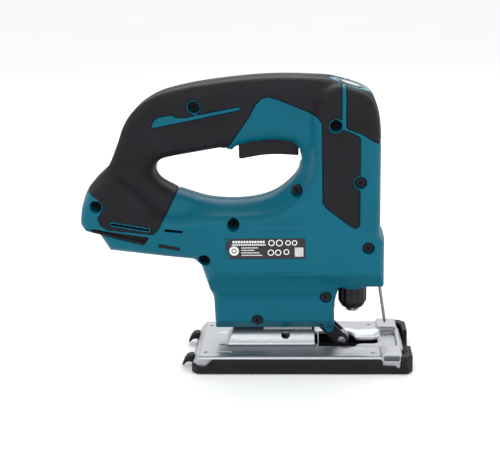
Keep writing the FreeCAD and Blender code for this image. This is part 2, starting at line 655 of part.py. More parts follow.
up = math.pi / 2
gear_gap_down = -up + math.pi / dim("gearTeeth")
parts.append(spur("pinion", dim("pinionTeeth"), 0.95, 1.15, up, dim("motorZ"), (56, 64.5), dim("shaftRad")))
parts.append(spur("drive_gear", dim("gearTeeth"), 0.7, 1.2, gear_gap_down, gear_z, (dim("gearRear"), dim("gearFront")), 6))
parts.append(tube("gear_bush", "X", ("0", gear_z), ("gearRear", "gearFront"), 6, "4+fit"))
parts.append(rod("crank_pin", "X", ("0", "%g-crankRad" % gear_z), ("gearFront", "gearFront+3.4"), 3))
parts.append(rod("gear_shaft", "X", ("0", gear_z), ("caseRear+0.1", "gearFront+0.6"), 4))

# ---------------------------------------------------------------- gear case

case_blank = block("case_blank", ("caseRear", "caseFront"), ("-caseHalf", "caseHalf"), ("caseLow", "caseHigh"))
case_rooms = [
    rod("gear_room", "X", ("0", gear_z), ("caseRear+5", 65), 20.3),
    rod("pinion_room", "X", motor, ("caseRear+5", 65), 6.4),
    block("yoke_room", (64.9, 90), (-16, 16), (90, 138)),
    rod("lower_bush_room", "Z", ("plungerX", "0"), (70, 92), 6.5),
    rod("upper_bush_room", "Z", ("plungerX", "0"), (136, 152), 6.5),
    rod("bearing_room", "X", motor, (45, 56), 8),
    rod("gear_shaft_hole", "X", ("0", gear_z), (45, 56), 4),
]
case_rooms += [block("case_corner_" + side, (49, 52.5), across(side, 13, 23), (138, 151)) for side in sign]
case_rooms += [
    rod("case_thread_%d" % i, "Y", (x, z), (-23, -15), "screwCore+0.15") for i, (x, z) in enumerate(case_screw_spots)
]
parts.append(cut("gear_case", case_blank, *case_rooms))
parts.append(block("gear_case_cover", ("caseFront+0.1", "caseFront+1.5"), (-18, 18), (86, 142)))
parts.append(tube("lower_bush", "Z", ("plungerX", "0"), (78.5, 90), 6.5, "plungerRad+fit"))
parts.append(tube("upper_bush", "Z", ("plungerX", "0"), (138, 150), 6.5, "plungerRad+fit"))
parts.append(tube("plunger_seal", "Z", ("plungerX", "0"), (76, 78.5), 6.5, "plungerRad+fit"))

# ---------------------------------------------------------------- plunger and blade clamp

yoke_z = gear_z - dim("crankRad")
plunger_rod = rod("plunger_rod", "Z", ("plungerX", "0"), (44, 153), "plungerRad")
yoke = block("yoke", (67, 70.6), (-14.8, 14.8), (yoke_z - 6, yoke_z + 6))
yoke_slot = block("yoke_slot", (66, 70.6), (-12.3, 12.3), (yoke_z - 3.1, yoke_z + 3.1))
yoke_hub = block("yoke_hub", (70.6, "plungerX"), (-5, 5), (yoke_z - 6, yoke_z + 6))
parts.append(join("plunger", plunger_rod, cut("yoke_frame", yoke, yoke_slot), yoke_hub))

holder_outline = ((0.0, 35.3), [(4.6, 35.3), (6.5, 38.0), (6.5, 52.0), (4.0, 52.0), (4.0, 44.0), (0.0, 44.0)])
sleeve_outline = ((6.58, 38.2), [
    (7.4, 38.2), (10.4, 43.0), (10.4, 56.2), (9.6, 57.0), (9.2, 57.0), (9.2, 50.0), (6.58, 50.0),
])


def turned(name, outline):
    """Body of revolution about the plunger axis from an outline of radius and height."""
    body = named("PartDesign::Body", name)
    sketch = body.newObject("Sketcher::SketchObject", name + "_sketch")
    support = [feature for feature in body.Origin.OriginFeatures if feature.Role == "XZ_Plane"][0]
    sketch.AttachmentSupport = [(support, "")]
    sketch.MapMode = "FlatFace"
    sketch.addGeometry(outline_edges(*outline), False)
    revolution = body.newObject("PartDesign::Revolution", name + "_revolution")
    revolution.Profile = sketch
    revolution.ReferenceAxis = (sketch, ["V_Axis"])
    revolution.Angle = 360
    bind(body, Placement_Base_x="plungerX")
    return body


holder_blank = turned("holder_blank", holder_outline)
parts.append(cut("blade_holder", holder_blank, block("blade_slot", (70.2, 78.8), (-0.8, 0.8), (30, 43))))
parts.append(turned("clamp_sleeve", sleeve_outline))

# ---------------------------------------------------------------- roller guide

arm_outline = ((48.2, 30.4), [
    (46.9, 39.4), ("arc", (49.6, 42.8), (53.0, 40.2)), (56.2, 29.8), (70.0, 16.0),
    ("arc", (70.3, 10.2), (64.0, 9.2)), (50.0, 23.6), ("arc", (47.6, 26.4), (48.2, 30.4)),
])
arm_blank = padded("arm_blank", "XZ", [arm_outline], (-6, 6))
parts.append(cut(
    "roller_arm", arm_blank,
    rod("arm_bore", "Y", ("armX", "armZ"), (-10, 10), "2+fit"),
    rod("arm_pin_bore", "Y", ("rollerX", "rollerZ"), (-10, 10), 1.75),
    block("arm_fork", (58.5, 75), (-3.5, 3.5), (3, 25)),
))
pin_body = rod("pin_body", "Y", ("rollerX", "rollerZ"), (-6.9, 6.9), 1.75)
pin_heads = [rod("pin_head_" + side, "Y", ("rollerX", "rollerZ"), across(side, 6.0, 7.1), 3.1) for side in sign]
parts.append(join("roller_pin", pin_body, *pin_heads))
roller_core = rod("roller_core", "Y", ("rollerX", "rollerZ"), (-3.2, 3.2), "rollerRad-0.9")
roller_rims = [rod("roller_rim_" + side, "Y", ("rollerX", "rollerZ"), across(side, 0.6, 3.2), "rollerRad") for side in sign]
parts.append(cut("guide_roller", join("roller_blank", roller_core, *roller_rims),
                 rod("roller_bore", "Y", ("rollerX", "rollerZ"), (-4, 4), "1.75+fit")))
parts.append(rod("arm_pin", "Y", ("armX", "armZ"), (-8.2, 8.2), 2))

lever_hub = rod("lever_hub", "Y", ("leverX", "leverZ"), (17.6, 21.6), 7.5)
lever_shaft = rod("lever_shaft", "Y", ("leverX", "leverZ"), (9, 17.6), 4)
lever_tab = block("lever_tab", ("leverX-3", "leverX+3"), (17.6, 20.8), ("leverZ", "leverZ+14"))
parts.append(join("orbit_lever", lever_hub, lever_shaft, lever_tab))

# ---------------------------------------------------------------- tilting base

sheet_low = "sheetTop-sheet"
plan = (("baseRear", "baseFront"), ("-baseHalf", "baseHalf"))
base_sheet = block("base_sheet", *plan, (sheet_low, "sheetTop"))
flange_block = block("flange_block", *plan, (3, sheet_low))
flange_room = block("flange_room", ("baseRear+sheet", "baseFront-sheet"), ("-baseHalf+sheet", "baseHalf-sheet"), (2, 11))
flange = cut("flange", flange_block, flange_room)
saddle_rod = rod("saddle_rod", "X", ("0", "tiltZ"), (-17, 47), "saddleRad")
saddle = common("saddle", saddle_rod, block("saddle_zone", (-20, 50), (-20, 20), (sheet_low, 30)))
channel_floor = block("channel_floor", (94, 108.5), ("-baseHalf", "baseHalf"), (7.6, 9.2))
arches = [block("fence_arch_" + side, (94, 108.5), across(side, 19, "baseHalf"), ("sheetTop", 14.3)) for side in sign]
base_blank = join("base_blank", base_sheet, flange, saddle, channel_floor, *arches)
base_rooms = [
    rod("saddle_room", "X", ("0", "tiltZ"), (-15, 48), "saddleRad-sheet"),
    block("saddle_gap", (-15, 51), (-11.6, 11.6), (2, 11)),
    block("bolt_slot", ("boltX-2.9", "boltX+2.9"), (-11.6, 11.6), (15.5, 30)),
    block("roller_gap", (50, 76), ("-slotHalf", "slotHalf"), (2, 20)),
    block("blade_gap", (75, 93), ("-bladeHalf", "bladeHalf"), (2, 20)),
    block("fence_window", (95.5, 106.5), (-40, 40), (9.2, 12.8)),
    block("fence_well", (95.5, 106.5), (-19, 19), (9.2, 20)),
    block("corner_gap_right", (107.2, 112), (-40, -31.2), (2, 20)),
    block("corner_gap_left", (107.2, 112), (31.2, 40), (2, 20)),
]
for i, (x, y) in enumerate([(-31, -26.2), (-31, 26.2), (88, -27.8), (88, 27.8)]):
    base_rooms.append(rod("base_hole_%d" % i, "Z", (x, y), (5, 15), 1.1))
parts.append(cut("base_plate", base_blank, *base_rooms))

cover_blank = block("cover_blank", (-41, 113.5), ("-coverHalf", "coverHalf"), (0, 11))
horn_outline = ((107.6, 38.0), [(111.5, 38.0), (116.0, 33.5), (116.0, 15.0), (112.0, 15.0), (112.0, 27.0), (108.6, 31.6), (107.6, 31.6)])
horn_left = padded("horn_left", "XY", [horn_outline], (0, 12.65))
horn_right = mirrored("horn_right", horn_left)
hook_outline = ((-40.5, 9.4), [
    (-42.5, 9.4), ("arc", (-46.2, 7.0), (-48.7, 1.9)), (-47.3, 1.7), ("arc", (-44.6, 4.4), (-40.5, 3.0)),
])
hooks = [padded("hook_" + side, "XZ", [hook_outline], across(side, 18, 26)) for side in sign]
front_sole = block("front_sole", (113, 116), (-34, 34), (0, 2.4))
cover_solid = join("cover_solid", cover_blank, horn_left, horn_right, front_sole, *hooks)
parts.append(cut(
    "cover_plate", cover_solid,
    block("cover_room", ("baseRear-0.2", 107.4), ("-baseHalf-0.2", "baseHalf+0.2"), (2.4, 20)),
    block("cover_front_room", (107, 112), (-31.0, 31.0), (2.4, 20)),
    block("cover_front_gap", (111, 120), (-15, 15), (2.4, 20)),
    block("cover_window", (92.5, 107.6), (-50, 50), (5.5, 20)),
    block("cover_roller_gap", (44, 98), ("-slotHalf", "slotHalf"), (-1, 3)),
    block("cover_bolt_gap", (18, 45), (-11.6, 11.6), (-1, 3)),
))
shoe_blank = common("shoe_blank", block("shoe_block", (19.5, 32.5), (-5.8, 5.8), (18, 24)),
                    rod("shoe_curve", "X", ("0", "tiltZ"), (15, 40), "saddleRad-sheet-0.3"))
parts.append(cut("clamp_shoe", shoe_blank, rod("shoe_hole", "Z", ("boltX", "0"), (15, 30), 2.5)))
bolt_shank = rod("bolt_shank", "Z", ("boltX", "0"), (15, 32), 2.4)
bolt_head = rod("bolt_head", "Z", ("boltX", "0"), (14, 18), 4.2)
bolt_socket = rod("bolt_socket", "Z", ("boltX", "0"), (13, 16.5), 2.2)
parts.append(cut("clamp_bolt", join("bolt_blank", bolt_shank, bolt_head), bolt_socket))

# ---------------------------------------------------------------- check and write

doc.recompute()
for obj in doc.Objects:
    if "Invalid" in obj.State or "Error" in obj.State:
        raise RuntimeError("%s failed: %s" % (obj.Label, obj.State))
for part in parts:
    if part.Shape.isNull() or not part.Shape.isValid():
        raise RuntimeError("%s has no valid shape" % part.Label)
    part.Shape.exportStep("parts/%s.step" % part.Label)
    print("%-20s %2d solids %9.1f mm3" % (part.Label, len(part.Shape.Solids), part.Shape.Volume))
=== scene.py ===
import json
import math
import bpy
import numpy as np
from mathutils import Matrix, Vector


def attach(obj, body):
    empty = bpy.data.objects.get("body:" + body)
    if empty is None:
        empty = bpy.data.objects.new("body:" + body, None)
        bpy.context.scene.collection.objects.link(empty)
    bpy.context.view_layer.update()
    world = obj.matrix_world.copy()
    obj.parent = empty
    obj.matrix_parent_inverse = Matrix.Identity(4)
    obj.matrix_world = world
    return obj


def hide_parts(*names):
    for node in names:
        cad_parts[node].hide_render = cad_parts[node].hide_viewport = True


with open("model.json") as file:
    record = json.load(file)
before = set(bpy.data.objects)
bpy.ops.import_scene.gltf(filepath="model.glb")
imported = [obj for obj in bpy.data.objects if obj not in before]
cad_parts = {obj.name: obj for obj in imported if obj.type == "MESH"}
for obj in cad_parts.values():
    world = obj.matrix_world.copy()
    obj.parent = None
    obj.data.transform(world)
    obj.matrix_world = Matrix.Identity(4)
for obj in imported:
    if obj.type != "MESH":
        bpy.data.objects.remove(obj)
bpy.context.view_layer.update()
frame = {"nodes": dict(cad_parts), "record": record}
nodes = frame["nodes"]
print("frame loaded,", len(nodes), "nodes")

mm = 0.001

# Fields hold a distance in millimetres at each point of a grid: below zero inside, above zero outside.


class Block:
    def __init__(self, low, high, step):
        self.low = np.array(low, dtype=np.float32)
        self.step = step
        counts = [int(math.ceil((b - a) / step)) + 1 for a, b in zip(low, high)]
        axes = [(self.low[k] + step * np.arange(counts[k])).astype(np.float32) for k in range(3)]
        self.x = axes[0][:, None, None]
        self.y = axes[1][None, :, None]
        self.z = axes[2][None, None, :]


def flow(points, parts=5):  # smooth open curve through points
    p = [np.array(q, float) for q in points]
    p = [2 * p[0] - p[1]] + p + [2 * p[-1] - p[-2]]
    made = []
    for a, b, c, d in zip(p, p[1:], p[2:], p[3:]):
        for k in range(parts):
            t = k / parts
            square, cube = (2 * a - 5 * b + 4 * c - d) * t * t, (3 * b - a - 3 * c + d) * t ** 3
            made.append(tuple(0.5 * (2 * b + (c - a) * t + square + cube)))
    return made + [tuple(p[-2])]


def inOutline(u, v, points):
    shape = np.broadcast(u, v).shape
    best = np.full(shape, 1e9, np.float32)
    inside = np.zeros(shape, bool)
    for (ax, ay), (bx, by) in zip(points, points[1:] + points[:1]):
        ex, ey = bx - ax, by - ay
        if ex * ex + ey * ey < 1e-9:
            continue
        t = np.clip(((u - ax) * ex + (v - ay) * ey) / (ex * ex + ey * ey), 0, 1)
        best = np.minimum(best, (u - ax - t * ex) ** 2 + (v - ay - t * ey) ** 2)
        if abs(ey) > 1e-9:
            inside ^= ((ay > v) != (by > v)) & (u < ex * (v - ay) / ey + ax)
    return np.where(inside, -1, 1) * np.sqrt(best)


def alongLine(u, v, points):  # distance to an open line of points
    best = np.full(np.broadcast(u, v).shape, 1e9, np.float32)
    for (ax, ay), (bx, by) in zip(points, points[1:]):
        ex, ey = bx - ax, by - ay
        t = np.clip(((u - ax) * ex + (v - ay) * ey) / (ex * ex + ey * ey), 0, 1)
        best = np.minimum(best, (u - ax - t * ex) ** 2 + (v - ay - t * ey) ** 2)
    return np.sqrt(best)


def slab(flat, across, half, rim):  # an outline given thickness, with a rounded rim
    a, b = flat + rim, np.abs(across) - half + rim
    return np.minimum(np.maximum(a, b), 0) + np.hypot(np.maximum(a, 0), np.maximum(b, 0)) - rim


def brick(g, low, high, rim=0.0):
    parts = []
    for axis, lo, hi in zip((g.x, g.y, g.z), low, high):
        parts.append(np.abs(axis - (lo + hi) / 2) - (hi - lo) / 2 + rim)
    outside = np.sqrt(sum(np.maximum(p, 0) ** 2 for p in parts))
    return outside + np.minimum(np.maximum(np.maximum(parts[0], parts[1]), parts[2]), 0) - rim


def spindle(g, axis, at, span, radius, rim=0.3):  # a round bar along a frame axis
    others = [v for name, v in zip("xyz", (g.x, g.y, g.z)) if name != axis]
    along = {"x": g.x, "y": g.y, "z": g.z}[axis]
    flat = np.hypot(others[0] - at[0], others[1] - at[1]) - radius
    return slab(flat, along - (span[0] + span[1]) / 2, (span[1] - span[0]) / 2, rim)


def melt(a, b, soft):  # soft union
    h = np.maximum(soft - np.abs(a - b), 0) / soft
    return np.minimum(a, b) - h * h * soft / 4


def carve(a, b, soft=0.0):  # b taken out of a
    return np.maximum(a, -b) if soft == 0 else -melt(-a, b, soft)


def ramp(flat, soft):  # 1 inside an outline, 0 outside, sloping over soft
    return np.clip(0.5 - flat / soft, 0, 1)


def sampled(g, field, p):
    q = (p - g.low) / g.step
    top = np.array(field.shape) - 1.001
    q = np.clip(q, 0, top)
    i = q.astype(int)
    f = (q - i).astype(np.float32)
    total = 0
    for dx in (0, 1):
        for dy in (0, 1):
            for dz in (0, 1):
                w = (f[:, 0] if dx else 1 - f[:, 0]) * (f[:, 1] if dy else 1 - f[:, 1])
                w = w * (f[:, 2] if dz else 1 - f[:, 2])
                total = total + w * field[i[:, 0] + dx, i[:, 1] + dy, i[:, 2] + dz]
    return total


def skin(name, g, field, flip=False):  # the surface where the field is zero, as a smooth mesh
    field = np.ascontiguousarray(np.broadcast_to(field, (g.x.size, g.y.size, g.z.size)), dtype=np.float32)
    shape = np.array(field.shape)
    cells = shape - 1
    inside = field < 0
    totals = [np.zeros(int(np.prod(cells)), np.float32) for k in range(4)]
    quads = []
    for axis in range(3):
        near = [slice(None)] * 3
        far = [slice(None)] * 3
        near[axis], far[axis] = slice(0, -1), slice(1, None)
        crossing = np.argwhere(inside[tuple(near)] != inside[tuple(far)])
        other = crossing.copy()
        other[:, axis] += 1
        a = field[tuple(crossing.T)]
        b = field[tuple(other.T)]
        point = crossing.astype(np.float32)
        point[:, axis] += a / (a - b)
        u, v = (axis + 1) % 3, (axis + 2) % 3
        ring = []
        good = np.ones(len(crossing), bool)
        for du, dv in ((0, 0), (1, 0), (1, 1), (0, 1)):
            cell = crossing.copy()
            cell[:, u] -= du
            cell[:, v] -= dv
            ok = ((cell >= 0) & (cell < cells)).all(axis=1)
            good &= ok
            flatIndex = np.ravel_multi_index(np.clip(cell, 0, cells - 1).T, tuple(cells))
            ring.append(flatIndex)
            size = totals[3].size
            for k in range(3):
                sums = np.bincount(flatIndex[ok], weights=point[ok, k], minlength=size)
                totals[k] += sums.astype(np.float32)
            totals[3] += np.bincount(flatIndex[ok], minlength=size).astype(np.float32)
        quad = np.stack(ring, axis=1)[good]
        turned = (a < 0)[good]
        quad[~turned] = quad[~turned][:, ::-1]
        quads.append(quad)
    used = np.flatnonzero(totals[3])
    place = np.full(totals[3].size, -1, np.int64)
    place[used] = np.arange(used.size)
    verts = np.stack([totals[k][used] / totals[3][used] for k in range(3)], axis=1) * g.step + g.low
    faces = place[np.concatenate(quads)]
    for k in range(2):  # pull each corner onto the surface
        here = sampled(g, field, verts)
        halves = np.eye(3) * g.step * 0.5
        slope = np.stack([sampled(g, field, verts + h) - sampled(g, field, verts - h) for h in halves],
                         axis=1) / g.step
        move = slope * (here / np.maximum((slope ** 2).sum(axis=1), 0.25))[:, None]
        verts = verts - np.clip(move, -0.4 * g.step, 0.4 * g.step)
    if flip:
        verts[:, 1] *= -1
        faces = faces[:, ::-1]
    mesh = bpy.data.meshes.new(name)
    mesh.vertices.add(len(verts))
    mesh.vertices.foreach_set("co", (verts * mm).astype(np.float32).ravel())
    mesh.loops.add(faces.size)
    mesh.loops.foreach_set("vertex_index", faces.astype(np.int32).ravel())
    mesh.polygons.add(len(faces))
    mesh.polygons.foreach_set("loop_start", np.arange(0, faces.size, 4, dtype=np.int32))
    mesh.polygons.foreach_set("use_smooth", np.ones(len(faces), bool))
    mesh.update(calc_edges=True)
    mesh.validate()
    obj = bpy.data.objects.new(name, mesh)
    bpy.context.scene.collection.objects.link(obj)
    print(name, len(faces), "faces")
    return obj


# Materials


class Wire:  # a socket that can be used in sums
    def __init__(self, paint, socket):
        self.paint, self.socket = paint, socket

    def maths(self, operation, *values):
        return self.paint.node("ShaderNodeMath", {"operation": operation}, list(values))

    def __add__(self, other):
        return self.maths("ADD", self, other)

    def __sub__(self, other):
        return self.maths("SUBTRACT", self, other)

    def __rsub__(self, other):
        return self.maths("SUBTRACT", other, self)

    def __mul__(self, other):
        return self.maths("MULTIPLY", self, other)

    def __truediv__(self, other):
        return self.maths("DIVIDE", self, other)

    def __rtruediv__(self, other):
        return self.maths("DIVIDE", other, self)

    def __lt__(self, other):
        return self.maths("LESS_THAN", self, other)

    def __gt__(self, other):
        return self.maths("GREATER_THAN", self, other)

    def __abs__(self):
        return self.maths("ABSOLUTE", self)

    def root(self):
        return self.maths("SQRT", self)

    def fraction(self):
        return self.maths("FRACT", self)

    def output(self, index):  # another output of the same node
        return Wire(self.paint, self.socket.node.outputs[index])

    __radd__ = __add__
    __rmul__ = __mul__


shaderSockets = {
    "colour": "Base Color", "roughness": "Roughness", "metallic": "Metallic", "normal": "Normal",
    "specular": "Specular IOR Level", "transmission": "Transmission Weight",
}


class Paint:
    def __init__(self, name):
        self.material = bpy.data.materials.new(name)
        self.material.use_nodes = True
        self.tree = self.material.node_tree
        self.shader = self.tree.nodes["Principled BSDF"]

    def node(self, kind, settings=None, inputs=None, out=0):
        made = self.tree.nodes.new(kind)
        for key, value in (settings or {}).items():
            setattr(made, key, value)
        pairs = inputs.items() if isinstance(inputs, dict) else enumerate(inputs or [])
        for key, value in pairs:
            if isinstance(value, Wire):
                self.tree.links.new(value.socket, made.inputs[key])
            else:
                made.inputs[key].default_value = value
        return Wire(self, made.outputs[out])

    def place(self):  # position on the object in metres
        return self.node("ShaderNodeTexCoord", out="Object")

    def noise(self, scale, detail=3, roughness=0.55, vector=None):
        inputs = {"Vector": vector or self.place(), "Scale": scale, "Detail": detail, "Roughness": roughness}
        return self.node("ShaderNodeTexNoise", {}, inputs)

    def mix(self, factor, a, b):
        return self.node("ShaderNodeMix", {"data_type": "RGBA"}, {0: factor, 6: a, 7: b}, out=2)

    def fade(self, value, low, high, fromZero=0.0, toOne=1.0):
        return self.node("ShaderNodeMapRange", {"clamp": True}, [value, low, high, fromZero, toOne])

    def bump(self, height, distance, strength):
        return self.node("ShaderNodeBump", {}, {"Height": height, "Distance": distance, "Strength": strength})

    def feed(self, **sockets):
        for key, value in sockets.items():
            socket = self.shader.inputs[shaderSockets[key]]
            if isinstance(value, Wire):
                self.tree.links.new(value.socket, socket)
            else:
                socket.default_value = value
        return self.material


def colour(r, g, b):  # display colour, 0 to 255, as linear light
    linear = [((c / 255 + 0.055) / 1.055) ** 2.4 if c > 10 else c / 255 / 12.92 for c in (r, g, b)]
    return (*linear, 1.0)


def moulded(name, look):  # fine-grained moulded plastic or rubber
    paint = Paint(name)
    grain = paint.noise(look["grain"], 2)
    cloud = paint.noise(look["cloud"], 4)
    shade = paint.mix(paint.fade(cloud, 0.35, 0.65), look["colour"], look["second"])
    rough = paint.fade(cloud, 0.3, 0.7, look["rough"] - 0.04, look["rough"] + 0.04)
    # Convex edges are lightened towards the edge colour: a painted highlight.
    edge = paint.node("ShaderNodeNewGeometry", out="Pointiness")
    paintedHighlight = paint.fade(edge, 0.53, 0.62, 0.0, look["highlightStrength"])
    shade = paint.mix(paintedHighlight, shade, look["edge"])
    normal = paint.bump(grain, look["depth"] * mm, 0.6)
    return paint.feed(colour=shade, roughness=rough, normal=normal, specular=look["specular"])


def metal(name, look):  # drawn, ground or plated metal with fine marks along one axis
    paint = Paint(name)
    stretched = paint.node("ShaderNodeVectorMath", {"operation": "MULTIPLY"}, [paint.place(), look["along"]])
    marks = paint.noise(look["grain"], 3, 0.6, stretched)
    cloud = paint.noise(look["cloud"], 4)
    shade = paint.mix(paint.fade(marks, 0.3, 0.7), look["colour"], look["second"])
    shade = paint.mix(paint.fade(cloud, 0.55, 0.8, 0.0, 0.5), shade, look["stain"])
    rough = paint.fade(marks + cloud, 0.7, 1.3, look["rough"] - 0.05, look["rough"] + 0.07)
    normal = paint.bump(marks, look["depth"] * mm, 0.5)
    return paint.feed(colour=shade, roughness=rough, metallic=look["metallic"], normal=normal)


# The edge colour is the lighter colour painted on convex edges as a highlight, up to the given share.
tealLook = {"grain": 2600, "cloud": 30, "colour": colour(0, 90, 110), "second": colour(0, 85, 104),
            "edge": colour(8, 112, 132), "rough": 0.42, "depth": 0.03, "highlightStrength": 0.25, "specular": 0.14}
gripLook = {"grain": 2200, "cloud": 45, "colour": colour(25, 23, 28), "second": colour(20, 19, 23),
            "edge": colour(40, 39, 44), "rough": 0.58, "depth": 0.05, "highlightStrength": 0.3, "specular": 0.16}
blackLook = {"grain": 1800, "cloud": 40, "colour": colour(24, 24, 28), "second": colour(19, 19, 22),
             "edge": colour(44, 44, 48), "rough": 0.48, "depth": 0.05, "highlightStrength": 0.3, "specular": 0.18}
leadLook = {"grain": 1500, "cloud": 60, "colour": colour(150, 30, 26), "second": colour(128, 24, 22),
            "edge": colour(180, 60, 50), "rough": 0.45, "depth": 0.03, "highlightStrength": 0.2, "specular": 0.4}
platedLook = {"along": (1.0, 6.0, 1.0), "grain": 500, "cloud": 24, "colour": colour(176, 178, 182),
              "second": colour(158, 160, 165), "stain": colour(168, 170, 176), "rough": 0.33,
              "depth": 0.02, "metallic": 0.92}
groundLook = {"along": (1.0, 1.0, 5.0), "grain": 900, "cloud": 60, "colour": colour(176, 176, 180),
              "second": colour(150, 150, 155), "stain": colour(120, 118, 116), "rough": 0.3,
              "depth": 0.02, "metallic": 1.0}
brightLook = {"along": (1.0, 1.0, 3.0), "grain": 1200, "cloud": 80, "colour": colour(214, 214, 218),
              "second": colour(196, 196, 200), "stain": colour(168, 168, 172), "rough": 0.2,
              "depth": 0.01, "metallic": 1.0}
oxideLook = {"along": (1.0, 1.0, 2.5), "grain": 1100, "cloud": 70, "colour": colour(40, 40, 43),
             "second": colour(30, 30, 33), "stain": colour(62, 60, 58), "rough": 0.36, "depth": 0.03,
             "metallic": 0.75}
wireLook = {"along": (1.0, 1.0, 0.3), "grain": 900, "cloud": 90, "colour": colour(150, 140, 130),
            "second": colour(126, 117, 108), "stain": colour(96, 86, 78), "rough": 0.36, "depth": 0.02,
            "metallic": 0.9}
bronzeLook = {"along": (1.0, 1.0, 1.0), "grain": 2500, "cloud": 70, "colour": colour(168, 128, 84),
              "second": colour(140, 104, 66), "stain": colour(104, 78, 52), "rough": 0.45, "depth": 0.03,
              "metallic": 0.9}
copperLook = {"along": (4.0, 1.0, 1.0), "grain": 1200, "cloud": 80, "colour": colour(196, 122, 90),
              "second": colour(170, 100, 72), "stain": colour(122, 72, 54), "rough": 0.32, "depth": 0.02,
              "metallic": 1.0}
castLook = {"along": (1.0, 1.0, 1.0), "grain": 1400, "cloud": 50, "colour": colour(168, 169, 172),
            "second": colour(150, 151, 155), "stain": colour(118, 118, 122), "rough": 0.5, "depth": 0.08,
            "metallic": 0.85}
magnetLook = {"along": (1.0, 1.0, 1.0), "grain": 1800, "cloud": 60, "colour": colour(66, 66, 70),
              "second": colour(54, 54, 58), "stain": colour(44, 42, 42), "rough": 0.6, "depth": 0.05,
              "metallic": 0.4}

teal = moulded("teal moulded shell", tealLook)
rubber = moulded("soft black grip", gripLook)
black = moulded("black moulded plastic", blackLook)
redLead = moulded("red lead cover", leadLook)
plated = metal("plated base sheet", platedLook)
ground = metal("ground steel", groundLook)
bright = metal("bright plated steel", brightLook)
oxide = metal("blackened steel", oxideLook)
wireSteel = metal("drawn guard wire", wireLook)
bronze = metal("sintered bronze", bronzeLook)
copper = metal("bare copper", copperLook)
castAlloy = metal("die-cast alloy", castLook)
magnet = metal("sintered magnet", magnetLook)
print("materials made")

def finish(piece, material, body, slot, *stands):
    piece.data.materials.append(material)
    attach(piece, body)
    if stands:
        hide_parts(*stands)


# Housing shells and soft grips

